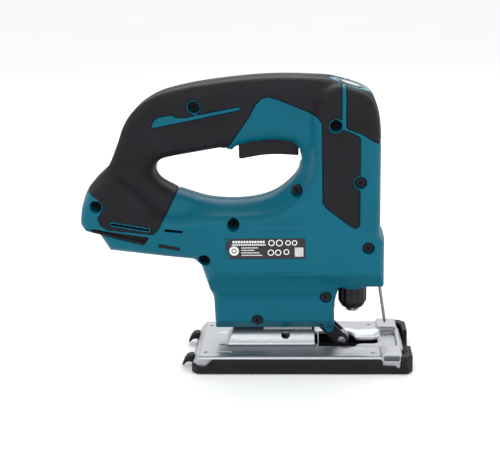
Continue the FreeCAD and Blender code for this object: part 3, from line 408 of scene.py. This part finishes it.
housing = {
    "step": 0.8, "slimHalf": 17.0, "slimRim": 6.5, "wideHalf": 28.0, "wideRim": 7.5, "wall": 2.6,
    "skin": 2.0, "seam": 0.12,
    "slim": [(-96.0, 88.5), (-104.0, 100.0), (-112.0, 103.0)]
    + flow([(-113.5, 116.0), (-109.0, 130.0), (-98.0, 143.0), (-90.0, 160.0), (-84.0, 175.0),
            (-75.0, 186.5), (-60.0, 195.5), (-40.0, 200.6), (-20.0, 203.6), (0.0, 205.6), (20.0, 206.6),
            (40.0, 206.2), (58.0, 204.6), (72.0, 200.4), (84.0, 195.6), (89.0, 189.0), (91.6, 180.0),
            (92.6, 168.0), (92.7, 152.0)])
    + [(92.7, 97.0), (95.6, 92.0), (95.6, 58.0), (66.0, 58.0)]
    + flow([(66.0, 58.0), (63.4, 52.0), (61.2, 44.0)])
    + [(61.2, 24.6), (-24.5, 24.6), (-25.5, 58.0), (-31.0, 76.0), (-37.0, 81.5), (-60.0, 84.0)],
    "wide": [(-96.0, 88.5), (-102.5, 100.0), (-112.5, 102.0)]
    + flow([(-112.5, 102.0), (-116.0, 108.0), (-113.0, 120.0), (-107.0, 130.0), (-96.0, 137.0),
            (-84.0, 135.0), (-74.0, 126.0), (-62.0, 113.0), (-48.0, 110.0), (-28.0, 112.5), (0.0, 112.5),
            (20.0, 115.0), (35.0, 124.0), (44.0, 136.0), (48.0, 150.0)])
    + flow([(48.0, 178.0), (51.0, 190.5), (57.0, 199.4), (64.0, 202.0), (74.0, 199.3), (84.0, 194.8),
            (89.0, 187.6), (92.0, 174.0), (92.7, 158.0)])
    + [(92.7, 97.0), (95.6, 92.0), (95.6, 58.0), (-25.5, 58.0), (-31.0, 76.0), (-37.0, 81.5), (-60.0, 84.0)],
    "opening": flow([(-50.0, 127.0), (-61.5, 134.0), (-64.8, 141.5), (-60.5, 149.0), (-50.0, 152.0)])
    + [(-18.0, 157.3), (-9.6, 155.6), (-7.6, 157.6)]
    + flow([(-7.6, 157.6), (0.0, 160.2), (12.0, 161.9), (24.0, 162.0), (33.0, 160.4)])
    + flow([(36.5, 156.5), (37.8, 148.0), (34.5, 137.0), (20.0, 124.5), (0.0, 119.0), (-26.0, 119.7),
            (-50.0, 127.0)]),
    "panel": [(-26.7, 101.6), (-20.0, 107.0), (-2.0, 107.5), (4.0, 104.8), (44.0, 104.8), (46.0, 103.0),
              (46.0, 72.3), (-23.0, 72.0), (-34.5, 88.0)],
    "screws": [(-104.0, 120.5, 16.0), (-34.5, 187.5, 8.0), (62.3, 175.3, 14.0), (35.0, 129.0, 14.0),
               (-8.7, 106.6, 14.0), (-29.7, 81.3, 14.0), (55.0, 50.0, 13.0), (6.0, 32.4, 13.0),
               (79.0, 136.0, 23.2), (84.6, 89.4, 23.2)],
    "recess": 4.25, "ring": 5.2,
    "rearSlot": [(-94.4, 108.9), (-67.2, 104.2), (-67.8, 102.6), (-93.8, 107.2)],
    "frontSlot": [(-56.7, 104.2), (-44.2, 102.9), (-44.2, 101.1), (-56.7, 102.4)],
    "groove": [(-125.0, 107.0), (-67.5, 98.3), (-71.7, 92.5), (-108.8, 102.1), (-125.0, 104.8)],
    "pocket": [(-60.5, 93.6), (-46.6, 90.9), (-46.8, 88.4), (-62.0, 91.2)],
    "label": [(-14.6, 82.3), (41.1, 82.3), (41.1, 97.3), (-14.6, 97.3)],
    "badge": {"centre": (73.0, 200.2), "tilt": 18.4, "radius": 14.2},
    "grip": [(-125.0, 131.5), (-107.0, 128.5), (-101.5, 125.5), (-98.6, 120.5), (-101.0, 115.0),
             (-103.0, 112.5), (-101.5, 107.5), (-97.0, 104.0), (-65.0, 100.2), (-61.0, 104.0),
             (-46.5, 132.0), (-30.0, 142.0), (-11.5, 159.5), (3.0, 180.0), (8.0, 189.0), (12.0, 193.0),
             (17.0, 194.0), (22.0, 192.5), (50.0, 181.0), (53.0, 177.0), (53.2, 122.0), (56.0, 118.0),
             (72.0, 105.5), (75.5, 103.5), (78.5, 105.5), (78.7, 167.0), (75.0, 169.5), (66.3, 173.0),
             (66.3, 220.0), (-125.0, 220.0)],
    "cap": [(69.3, 220.0), (69.3, 175.0), (70.5, 173.0), (80.0, 169.5), (90.5, 162.8), (100.0, 160.0),
            (100.0, 220.0)],
    "stripe": [(-65.0, 173.5), (-62.5, 178.5), (-60.0, 180.8), (-50.0, 182.4), (-46.5, 180.4),
               (-40.0, 180.5), (-30.0, 182.6), (-3.0, 187.5), (-1.8, 186.5), (-4.0, 184.7),
               (-20.0, 181.6), (-40.0, 177.6), (-62.0, 173.4)],
    "handlePad": [(-59.0, 172.0), (-20.0, 179.6), (-9.0, 181.0), (-13.0, 172.0), (-18.0, 163.0),
                  (-56.0, 157.5)],
    "padLines": [[(-57.0, 170.0), (-12.0, 178.8)], [(-55.0, 166.5), (-14.0, 174.5)],
                 [(-53.0, 163.0), (-16.0, 170.3)]],
    "ribs": [161.5, 152.0, 143.0, 133.5, 124.0],
    "ridge": [(-78.0, 176.0), (-60.0, 186.5), (-40.0, 191.0), (-10.0, 194.5), (30.0, 196.0), (60.0, 195.0)],
    "tongue": [(48.4, 31.5), (48.4, 25.8), (53.6, 23.8), (54.6, 21.2), (57.0, 19.7), (59.6, 20.4),
               (61.2, 24.0), (61.2, 31.5)],
    "relief": {"panel": 1.0, "pad": 0.7, "padLine": 0.5, "rib": 0.8, "ridge": 0.8, "border": 0.35},
    "belly": {"half": 16.8, "bottom": 57.2, "slope": 0.85}, "tiltRoom": 15.1, "openingRim": 13.0,
    "collar": {"at": (74.5, 0.0), "span": (54.2, 66.0), "radius": 13.0, "bore": 11.2},
    "triggerSlot": [(-6.6, -9.4, 145), (38.8, 9.4, 166)], "button": (37.0, 177.0, 4.8),
    "lever": (38.0, 47.0, 4.2),
    "hollows": [((-125, -17, 78), (-55, 17, 93), 1.0), ((44, -6.5, 10), (62.8, 6.5, 33.5), 0.5),
                ((55, -4, 38), (70, 4, 45), 0.5), ((5, -7.6, 20), (45, 7.6, 34), 0.3)],
}


def tiltedDisc(g, radius, low, high):  # square to the sloping top of the head
    (cx, cz), tilt = housing["badge"]["centre"], math.radians(housing["badge"]["tilt"])
    dx, dz = g.x - cx, g.z - cz
    along = dx * math.cos(tilt) - dz * math.sin(tilt)
    up = dx * math.sin(tilt) + dz * math.cos(tilt)
    return slab(np.hypot(along, g.y) - radius, up - (low + high) / 2, (high - low) / 2, 0.2)


def rounded(distance, reach):  # 1 on a line, falling to 0 at reach on either side
    return np.clip(1 - (distance / reach) ** 2, 0, 1)


def bodyForm(g):
    h, belly, relief = housing, housing["belly"], housing["relief"]
    a = np.abs(g.y)
    slim = slab(inOutline(g.x, g.z, h["slim"]), g.y, h["slimHalf"], h["slimRim"])
    wide = slab(inOutline(g.x, g.z, h["wide"]), g.y, h["wideHalf"], h["wideRim"])
    slope = a - belly["half"] - (g.z - belly["bottom"]) * belly["slope"]
    wide = np.maximum(wide, slope / 1.31)  # the belly slopes in to the foot
    form = melt(slim, wide, np.interp(g.x, (48.0, 64.0), (12.0, 3.5)))
    form = carve(form, inOutline(g.x, g.z, h["opening"]) + 0 * g.y, h["openingRim"])
    form = np.maximum(form, (a - g.z + h["tiltRoom"]) / 1.414)  # room for the base to tilt
    side = ramp(14.0 - a, 4.0)
    form = form - relief["panel"] * ramp(inOutline(g.x, g.z, h["panel"]), 1.6) * side
    form = form + relief["pad"] * ramp(inOutline(g.x, g.z, h["handlePad"]), 1.2) * side
    for line in h["padLines"]:
        form = form + relief["padLine"] * rounded(alongLine(g.x, g.z, line), 0.9) * side
    for z in h["ribs"]:
        rib = alongLine(g.x, g.z, flow([(63.5, z - 3.2), (68.0, z + 0.4), (73.0, z - 0.6)], 4))
        form = form - relief["rib"] * rounded(rib, 2.0) * side
    ridge = alongLine(g.x, g.z, flow(h["ridge"]))
    return form - relief["ridge"] * rounded(ridge, 5.0) * ramp(10.0 - a, 5.0)


def housingFields(g, side):
    h, collar, badge = housing, housing["collar"], housing["badge"]
    form = bodyForm(g)
    a = np.abs(g.y)
    tube = spindle(g, "z", collar["at"], collar["span"], collar["radius"], 1.2)
    outer = melt(form, tube, 1.5)
    tongue = slab(inOutline(g.x, g.z, h["tongue"]), a - 7.4, 0.8, 0.3)
    outer = np.minimum(outer, np.maximum(tongue, outer - 14.0))
    rearSlot = inOutline(g.x, g.z, h["rearSlot"])
    grip = np.maximum(inOutline(g.x, g.z, h["grip"]), -inOutline(g.x, g.z, h["stripe"]))
    grip = np.maximum(grip, 1.1 - rearSlot)
    cap = inOutline(g.x, g.z, h["cap"])
    for x, z, seat in h["screws"]:
        clear = h["ring"] - np.hypot(g.x - x, g.z - z)
        grip = np.maximum(grip, clear)
        cap = np.maximum(cap, clear)
    disc = tiltedDisc(g, badge["radius"] + 1.9, -8.0, 9.0)
    grip = np.maximum(grip, -disc)
    cap = np.maximum(cap, -disc)
    outer = outer + h["relief"]["border"] * rounded(np.minimum(np.abs(grip), np.abs(cap)), 0.9)
    shell = np.maximum(outer, -(form + h["wall"]))
    shell = np.minimum(shell, np.maximum(tube, -spindle(g, "z", collar["at"], (40.0, 80.0), collar["bore"])))
    triggerSlot = brick(g, *h["triggerSlot"], 0.3)
    x, z, radius = h["button"]
    buttonHole = spindle(g, "y", (x, z), (10, 40), radius, 0.2)
    taken = [
        spindle(g, "z", collar["at"], (50.0, 80.0), collar["bore"]),
        triggerSlot,
        np.maximum(inOutline(g.x, g.z, h["groove"]), 23.4 - a),
        np.maximum(inOutline(g.x, g.z, h["pocket"]), 26.3 - a),
        np.maximum(rearSlot, 18 - a),
        np.maximum(inOutline(g.x, g.z, h["frontSlot"]), 18 - a),
        tiltedDisc(g, badge["radius"], -0.9, 12.0),
        spindle(g, "y", (52.0, 28.0), (-12, 12), 2.0, 0.1),
    ]
    taken += [brick(g, low, high, rim) for low, high, rim in h["hollows"]]
    if side == "right":
        for x, z, seat in h["screws"]:
            away = np.hypot(g.x - x, g.z - z)
            well = np.maximum(np.maximum(away - h["ring"] - 0.3, seat - 1.2 - a), outer)
            shell = np.minimum(shell, well)
            taken.append(np.maximum(away - h["recess"], seat - a))
        taken.append(np.maximum(inOutline(g.x, g.z, h["label"]), 27.7 - a))
    else:
        x, z, radius = h["lever"]
        taken += [buttonHole, spindle(g, "y", (x, z), (10, 40), radius, 0.2)]
    for tool in taken:
        shell = carve(shell, tool)
    inDeep = outer + h["skin"]
    skinned = np.maximum(outer, -inDeep)
    gripBody = carve(np.maximum(skinned, grip + 0 * g.y), triggerSlot)
    capBody = np.maximum(skinned, cap + 0 * g.y)
    if side == "left":
        gripBody = carve(gripBody, buttonHole)
    room = np.minimum(grip, cap) - 0.1
    shell = np.maximum(shell, -np.maximum(room + 0 * g.y, -(inDeep - 0.1)))
    half = h["seam"] - a
    return [np.maximum(field, half) for field in (shell, gripBody, capBody)]


def buildHousing():
    kinds = [("shell", teal, "housing_", "housing_plastic"), ("grip", rubber, "grip_", "grip_elastomer"),
             ("cap", rubber, "nose_cap_", "grip_elastomer")]
    for side in ("right", "left"):
        g = Block((-118.0, -29.6, 17.0), (97.6, 0.8, 208.4), housing["step"])
        for field, (name, material, stand, slot) in zip(housingFields(g, side), kinds):
            piece = skin(name + side.title(), g, field, flip=side == "left")
            finish(piece, material, "tool_body", slot, stand + side)


buildHousing()
print("housing built")

# Dark strips set in the battery groove and pocket: painted shade for the depth of the groove.
grooveShadeStrips = {
    "pocketShadeStrip": {"outline": housing["pocket"], "at": 26.6},
    "grooveShadeStrip": {"outline": [(-106.0, 103.4), (-68.4, 98.2), (-71.8, 92.8), (-104.0, 101.4)], "at": 24.2},
}


def paintGrooveShade():  # painted shade: dark strips closing the battery groove and its short pocket, standing in for the shade deep inside them
    for name, shadeStrip in grooveShadeStrips.items():
        for side, end in ((-1, "Right"), (1, "Left")):
            at = side * shadeStrip["at"]
            g = Block((-108.0, at - 1.2, 86.0), (-45.0, at + 1.2, 106.0), 0.4)
            field = slab(inOutline(g.x, g.z, shadeStrip["outline"]) - 0.1 + 0 * g.y, g.y - at, 0.5, 0.15)
            finish(skin(name + end, g, field), rubber, "tool_body", "black_plastic")


paintGrooveShade()

# Pressed base sheet and its plastic cover

base = {
    "step": 0.5, "top": 12.4, "sheet": 1.7, "low": 3.0, "rim": 2.4,
    "outline": [(-36.5, -36.2), (-39.5, -33.0), (-39.5, 33.0), (-36.5, 36.2), (107.2, 36.2),
                (107.2, 30.5), (108.6, 26.5), (110.4, 20.0), (110.4, -20.0), (108.6, -26.5),
                (107.2, -30.5), (107.2, -36.2)],
    "opening": [(50.0, -14.6), (72.0, -14.6), (75.0, -12.5), (77.5, -6.4), (81.0, -5.0), (93.0, -5.0),
                (93.0, 5.0), (81.0, 5.0), (77.5, 6.4), (75.0, 12.5), (72.0, 14.6), (50.0, 14.6)],
    "channel": [(66.0, -17.0), (70.0, -17.0), (78.0, -13.0), (93.5, -15.0), (93.5, 15.0), (78.0, 13.0),
                (70.0, 17.0), (66.0, 17.0)],
    "saddle": {"radius": 14.0, "inner": 12.0, "axis": 10.0, "span": (-17.0, 47.0), "slant": 0.36},
    "holes": [(-31.0, 26.3), (88.0, 27.8), (101.0, 15.0)],
    "ridges": [[(-21.0, 25.9), (10.0, 25.9)], [(-21.0, 29.9), (10.0, 29.9)], [(-24.0, 12.4), (-18.0, 12.4)]],
    "cut": [(-21.5, 26.8), (-12.5, 29.0)], "channelDepth": 1.7, "rolledEdge": 1.1, "ridgeHeight": 0.4,
    "holeRadius": 1.15,
    "fence": {"floor": [(94.0, -36.2, 7.6), (108.4, 36.2, 9.2)],
              "arch": [(93.6, -36.2, 8.0), (108.4, 36.2, 14.3)],
              "well": [(95.6, -18.6, 9.2), (106.4, 18.6, 20.0)],
              "window": [(95.6, -40, 9.2), (106.4, 40, 12.7)], "floorHalf": 18.0, "inner": 19.0},
    "boltSlot": [(23.1, -11.6, 15.5), (28.9, 11.6, 30)],
}


def basePart():
    b, saddle, fence = base, base["saddle"], base["fence"]
    g = Block((-41.5, -37.6, 1.6), (112.5, 37.6, 26.0), b["step"])
    a = np.abs(g.y)
    flat = inOutline(g.x, g.y, b["outline"])
    opening = inOutline(g.x, g.y, b["opening"])
    dip = b["channelDepth"] * ramp(inOutline(g.x, g.y, b["channel"]), 7.0)
    dip = dip + b["rolledEdge"] * ramp(opening - 0.6, 2.2) * (g.x > saddle["span"][1])
    for line in b["ridges"]:
        dip = dip - b["ridgeHeight"] * rounded(alongLine(g.x, a, line), 1.0)
    z = g.z + dip
    solid = slab(flat + 0 * g.z, z - (b["top"] - 20), 20, b["rim"])
    solid = np.maximum(solid, (z - b["top"] + (-35.0 - g.x) * 0.9) / 1.345)  # bevelled rear edge
    field = np.maximum(np.maximum(solid, -(solid + b["sheet"])), b["low"] - g.z)
    around = np.hypot(g.y, g.z - saddle["axis"])
    end = saddle["span"][0] + (g.z - saddle["axis"]) * saddle["slant"] - g.x
    pipe = np.maximum(np.maximum(around - saddle["radius"], end), g.x - saddle["span"][1])
    pipe = np.maximum(pipe, 10.6 - g.z)
    field = melt(field, pipe, 2.0)
    field = np.maximum(field, -np.maximum(np.maximum(around - saddle["inner"], end + 2.0), g.x - 49.0))
    floor = np.maximum(brick(g, *fence["floor"], 0.3), a - fence["floorHalf"])
    arch = np.maximum(brick(g, *fence["arch"], 1.3), fence["inner"] - a)
    field = melt(np.minimum(field, floor), arch, 1.2)
    taken = [brick(g, *fence["well"], 0.5), brick(g, *fence["window"], 0.5), opening + 0 * g.z,
             brick(g, *b["boltSlot"], 1.0)]
    taken += [np.hypot(g.x - x, a - y) - b["holeRadius"] + 0 * g.z for x, y in b["holes"]]
    (x0, y0), (x1, y1) = b["cut"]
    long, wide = np.abs(g.x - (x0 + x1) / 2) - (x1 - x0) / 2, np.abs(a - (y0 + y1) / 2) - (y1 - y0) / 2
    taken.append(np.maximum(long, wide) + 0 * g.z)
    for tool in taken:
        field = carve(field, tool)
    finish(skin("baseSheet", g, field), plated, "base", "base_steel", "base_plate")


cover = {
    "step": 0.55,
    "outline": [(-36.6, -38.0), (-40.6, -34.0), (-40.6, 34.0), (-36.6, 38.0), (113.5, 38.0), (113.5, -38.0)],
    "room": [(-37.0, -36.5), (-39.8, -33.2), (-39.8, 33.2), (-37.0, 36.5), (107.4, 36.5), (107.4, 31.0),
             (112.0, 31.0), (112.0, -31.0), (107.4, -31.0), (107.4, -36.5)],
    "skirt": ([-50.0, -39.0, -31.0, -25.5, 92.4, 94.7, 95.0, 104.0, 105.0, 120.0],
              [6.6, 6.4, 5.3, 10.8, 10.8, 8.8, 5.9, 5.5, 3.8, 3.8]),
    "horn": [(107.6, 38.0), (111.5, 38.0), (115.9, 33.6), (115.9, 15.0), (112.0, 15.0), (112.0, 27.0),
             (108.6, 31.6), (107.6, 31.6)],
    "hook": [(-40.2, 9.2), (-42.5, 9.3), (-45.2, 8.2), (-47.4, 5.2), (-48.6, 1.9), (-47.3, 1.7),
             (-45.6, 3.9), (-43.2, 4.6), (-40.2, 3.6)],
    "roller": [(44.0, -14.6), (98.0, -14.6), (98.0, 14.6), (44.0, 14.6)],
    "bolt": [(18.0, -11.6), (45.0, -11.6), (45.0, 11.6), (18.0, 11.6)],
}


def coverPart():
    c = cover
    g = Block((-50.0, -38.8, -0.8), (117.0, 38.8, 13.6), c["step"])
    a = np.abs(g.y)
    outline = inOutline(g.x, g.y, c["outline"])
    field = slab(outline + 0 * g.z, g.z - 6.0, 6.0, 1.1)
    field = np.maximum(field, g.z - np.interp(g.x, *c["skirt"]))
    horn = slab(inOutline(g.x, a, c["horn"]) + 0 * g.z, g.z - 6.32, 6.32, 1.2)
    sole = brick(g, (108.0, -34.0, 0.0), (115.9, 34.0, 2.4), 0.8)
    hook = slab(inOutline(g.x, g.z, c["hook"]) + 0 * g.y, a - 22.0, 4.0, 0.7)
    room = np.maximum(inOutline(g.x, g.y, c["room"]) + 0 * g.z, 2.4 - g.z)
    field = np.minimum(carve(field, room), np.minimum(horn, sole))
    field = melt(field, hook, 0.8)
    for gap in (c["roller"], c["bolt"]):
        field = carve(field, inOutline(g.x, g.y, gap) + 0 * g.z)
    finish(skin("baseCover", g, field), black, "base", "black_plastic", "cover_plate")


basePart()
coverPart()
print("base built")

# Trigger and blade clamp sleeve

small = {
    "trigger": [(-5.0, 163.0), (-5.0, 150.3), (-4.2, 149.6), (-2.8, 149.6)]
    + flow([(-2.8, 149.6), (10.0, 151.8), (20.0, 152.4), (30.0, 152.0), (36.6, 151.4)])
    + [(36.9, 157.0), (40.0, 159.7), (44.4, 161.0), (44.7, 162.8), (43.0, 165.4), (41.0, 165.7),
       (36.0, 164.5)],
    "sleeve": [(6.6, 38.2), (7.4, 38.2), (8.2, 39.0), (10.1, 42.6), (10.4, 43.6), (10.4, 56.0),
               (9.4, 57.0), (6.6, 57.0)],
    "sleeveAt": 74.5, "flutes": 14, "fluteDepth": 0.32, "triggerPin": (41.5, 162.5, 1.6),
    "triggerRoom": [(-2.6, -6.6, 154.6), (37.0, 6.6, 175.0)],
}


def triggerPart():
    g = Block((-5.8, -9.8, 148.4), (45.6, 9.8, 166.6), 0.45)
    x, z, radius = small["triggerPin"]
    field = slab(inOutline(g.x, g.z, small["trigger"]) + 0 * g.y, g.y, 9.0, 1.6)
    field = carve(field, np.hypot(g.x - x, g.z - z) - radius + 0 * g.y)
    field = carve(field, brick(g, *small["triggerRoom"], 0.8))
    finish(skin("triggerLever", g, field), black, "trigger", "black_plastic", "trigger")


def sleevePart():
    at = small["sleeveAt"]
    g = Block((at - 11.2, -11.2, 37.4), (at + 11.2, 11.2, 57.8), 0.35)
    radius = np.hypot(g.x - at, g.y)
    wave = 1 + np.cos(small["flutes"] * np.arctan2(g.y, g.x - at))
    flute = small["fluteDepth"] * wave * ramp(np.abs(g.z - 49.0) - 5.6, 1.0)
    field = inOutline(radius + flute, g.z + 0 * radius, small["sleeve"])
    finish(skin("clampSleeve", g, field), oxide, "sleeve", "dark_steel", "clamp_sleeve")


triggerPart()
sleevePart()
print("trigger and sleeve built")

# Side label, top badge and lamp lens

label = {
    "outline": [(-12.2, 97.2), (-14.4, 91.8), (-11.4, 82.5), (40.9, 82.5), (40.9, 97.2)], "front": -27.92,
    "back": -27.72,
    "bars": [(-9.5, 13.0, 94.0, 95.6, 1.9), (-10.0, 13.5, 92.2, 93.2, 1.3), (-3.6, 8.0, 90.2, 90.9, 1.1),
             (-3.6, 5.5, 88.4, 89.1, 1.0), (-3.6, 9.0, 86.6, 87.3, 1.2), (-3.6, 11.0, 84.8, 85.5, 1.1)],
    "rings": [(17.5, 94.0, 1.9), (23.0, 94.0, 2.1), (29.0, 94.0, 1.6), (33.5, 94.0, 1.6),
              (17.0, 87.0, 1.9), (22.0, 87.0, 1.9), (27.8, 87.4, 1.7)],
    "dot": (-8.6, 88.3, 3.3), "hatch": (33.6, 39.6, 84.0, 90.6), "dashShare": 0.72, "ringHalf": 0.32,
    "dotRing": 0.45, "dotHalf": 0.35, "hatchPitch": 1.5, "hatchGap": 0.35, "ink": colour(226, 228, 230),
    "ground": colour(24, 23, 26),
}


def spread(a, b):  # length of a flat offset
    return (a * a + b * b).root()


def labelPaint():
    paint = Paint("printed label")
    at = paint.node("ShaderNodeVectorMath", {"operation": "SCALE"}, {0: paint.place(), "Scale": 1 / mm})
    x = paint.node("ShaderNodeSeparateXYZ", {}, [at])
    z = x.output(2)
    marks = x * 0
    for x0, x1, z0, z1, pitch in label["bars"]:
        box = (x > x0) * (x < x1) * (z > z0) * (z < z1)
        marks = marks + box * ((x / pitch).fraction() < label["dashShare"])
    for cx, cz, radius in label["rings"]:
        marks = marks + (abs(spread(x - cx, z - cz) - radius) < label["ringHalf"])
    cx, cz, radius = label["dot"]
    away = spread(x - cx, z - cz)
    marks = marks + (away < radius) * (abs(away - radius * label["dotRing"]) > label["dotHalf"])
    x0, x1, z0, z1 = label["hatch"]
    lines = ((x + z) / label["hatchPitch"]).fraction() > label["hatchGap"]
    marks = marks + (x > x0) * (x < x1) * (z > z0) * (z < z1) * lines
    cloud = paint.noise(900, 2)
    shade = paint.mix(paint.fade(marks, 0.0, 1.0), label["ground"], label["ink"])
    return paint.feed(colour=shade, roughness=paint.fade(cloud, 0.3, 0.7, 0.3, 0.36), specular=0.45)


def labelPart():
    points = label["outline"]
    count = len(points)
    corners = [(x * mm, y * mm, z * mm) for y in (label["front"], label["back"]) for x, z in points]
    faces = [tuple(range(count)), tuple(reversed(range(count, 2 * count)))]
    faces += [(k, k + count, (k + 1) % count + count, (k + 1) % count) for k in range(count)]
    mesh = bpy.data.meshes.new("sideLabel")
    mesh.from_pydata(corners, [], faces)
    piece = bpy.data.objects.new("sideLabel", mesh)
    bpy.context.scene.collection.objects.link(piece)
    edge = piece.modifiers.new("edge", "BEVEL")
    edge.width, edge.segments = 0.06 * mm, 2
    finish(piece, labelPaint(), "tool_body", "label_film", "name_plate")


labelPart()


badgeLook = {
    "markLength": 6.2, "markWidth": 3.4, "ringInner": 11.2, "disc": colour(26, 28, 32),
    "mark": colour(215, 222, 225), "ring": colour(0, 122, 142),
}


def badgePaint():
    look = badgeLook
    cx, cz = housing["badge"]["centre"]
    paint = Paint("top badge film")
    ends = [paint.place(), (cx * mm, 0.0, cz * mm)]
    away = paint.node("ShaderNodeVectorMath", {"operation": "DISTANCE"}, ends, out="Value")
    x = paint.node("ShaderNodeSeparateXYZ", {}, [paint.place()])
    across = (x - cx * mm) / (look["markLength"] * mm)
    over = x.output(1) / (look["markWidth"] * mm)
    mark = (across * across + over * over) < 1.0
    shade = paint.mix(away > look["ringInner"] * mm, paint.mix(mark, look["disc"], look["mark"]),
                      look["ring"])
    cloud = paint.noise(700, 2)
    return paint.feed(colour=shade, roughness=paint.fade(cloud, 0.3, 0.7, 0.22, 0.3), specular=0.5)


def lensPaint():
    paint = Paint("lamp lens")
    inputs = {"Vector": paint.place(), "Scale": 260.0, "Distortion": 0.0}
    flutes = paint.node("ShaderNodeTexWave", {"bands_direction": "Z"}, inputs)
    shade = paint.mix(flutes, colour(205, 210, 214), colour(236, 238, 240))
    normal = paint.bump(flutes, 0.1 * mm, 0.6)
    return paint.feed(colour=shade, roughness=0.12, specular=0.6, transmission=0.35, normal=normal)


# Camera, light and floor

view = {"place": (0.045216, -0.753786, 0.312587), "pitch": 0.27543, "yaw": 0.05822, "roll": 0.02296,
        "lens": 78.79}


def buildView():
    pitch, yaw, roll = view["pitch"], view["yaw"], view["roll"]
    ahead = Vector((-math.sin(yaw) * math.cos(pitch), math.cos(yaw) * math.cos(pitch), -math.sin(pitch)))
    right = ahead.cross(Vector((0, 0, 1))).normalized()
    down = ahead.cross(right)
    turnedRight = right * math.cos(roll) + down * math.sin(roll)
    turnedDown = down * math.cos(roll) - right * math.sin(roll)
    camera = bpy.data.objects.new("camera", bpy.data.cameras.new("camera"))
    camera.data.lens = view["lens"]
    camera.data.sensor_width = 36
    camera.data.clip_start = 0.01
    basis = Matrix((turnedRight, -turnedDown, -ahead)).transposed().to_4x4()
    camera.matrix_world = Matrix.Translation(view["place"]) @ basis
    bpy.context.scene.collection.objects.link(camera)
    bpy.context.scene.camera = camera


lamps = [
    {"place": (-0.15, -0.9, 0.9), "aim": (0, 0, 0.1), "size": 0.9, "power": 4.0},
    {"place": (0.9, -0.5, 0.5), "aim": (0, 0, 0.1), "size": 0.7, "power": 1.6},
    {"place": (-0.9, -0.2, 0.5), "aim": (0, 0, 0.1), "size": 0.7, "power": 1.2},
    {"place": (0.0, 0.7, 0.9), "aim": (0, 0, 0.1), "size": 0.9, "power": 5.0},
]


def buildLight():
    for i, lamp in enumerate(lamps):
        data = bpy.data.lights.new("softbox%d" % i, "AREA")
        data.size, data.energy = lamp["size"], lamp["power"]
        obj = bpy.data.objects.new(data.name, data)
        away = Vector(lamp["place"]) - Vector(lamp["aim"])
        obj.matrix_world = Matrix.Translation(lamp["place"]) @ away.to_track_quat("Z",
                                                                                  "Y").to_matrix().to_4x4()
        bpy.context.scene.collection.objects.link(obj)
    world = bpy.data.worlds.new("studio")
    world.use_nodes = True
    world.node_tree.nodes["Background"].inputs[0].default_value = (1, 1, 1, 1)
    world.node_tree.nodes["Background"].inputs[1].default_value = 1.0
    bpy.context.scene.world = world


def buildFloor():
    mesh = bpy.data.meshes.new("floor")
    far, low = 6.0, -0.5 * mm
    corners = [(-far, -far, low), (far, -far, low), (far, far, low), (-far, far, low)]
    mesh.from_pydata(corners, [], [(0, 1, 2, 3)])
    floor = bpy.data.objects.new("floor", mesh)
    bpy.context.scene.collection.objects.link(floor)
    paint = Paint("pale floor")
    cloud = paint.noise(3.0, 2)
    shade = paint.mix(cloud, (0.93, 0.93, 0.93, 1), (0.96, 0.96, 0.96, 1))
    floor.data.materials.append(paint.feed(colour=shade, roughness=0.9, specular=0.0))


bpy.context.scene.view_settings.view_transform = "Standard"
buildView()
buildLight()
buildFloor()

# Finishes of the parts that keep their own shape

finishes = {
    "housing_plastic": teal, "grip_elastomer": rubber, "black_plastic": black, "base_steel": plated,
    "dark_steel": oxide, "bright_steel": bright, "ground_steel": ground, "spring_steel": wireSteel,
    "bronze": bronze, "copper": copper, "cast_alloy": castAlloy, "magnet": magnet, "lead_rubber": redLead,
    "label_film": black, "badge_film": badgePaint(), "lens": lensPaint(),
}

darkParts = ("battery_rails", "terminal_block", "housing_screws", "case_screws", "roller_arm")


def dressNodes():
    slots = {part["node"]: part["material_slot"] for part in frame["record"]["subparts"]}
    for name, obj in nodes.items():
        if obj.hide_render:
            continue
        for place in obj.material_slots:
            place.material = rubber if name in darkParts else finishes[slots[name]]
        if slots[name] not in ("lead_rubber", "spring_steel"):
            edge = obj.modifiers.new("soft edges", "BEVEL")
            edge.width, edge.segments = 0.2 * mm, 2
            edge.limit_method, edge.angle_limit = "ANGLE", math.radians(40)


dressNodes()
print("parts dressed")
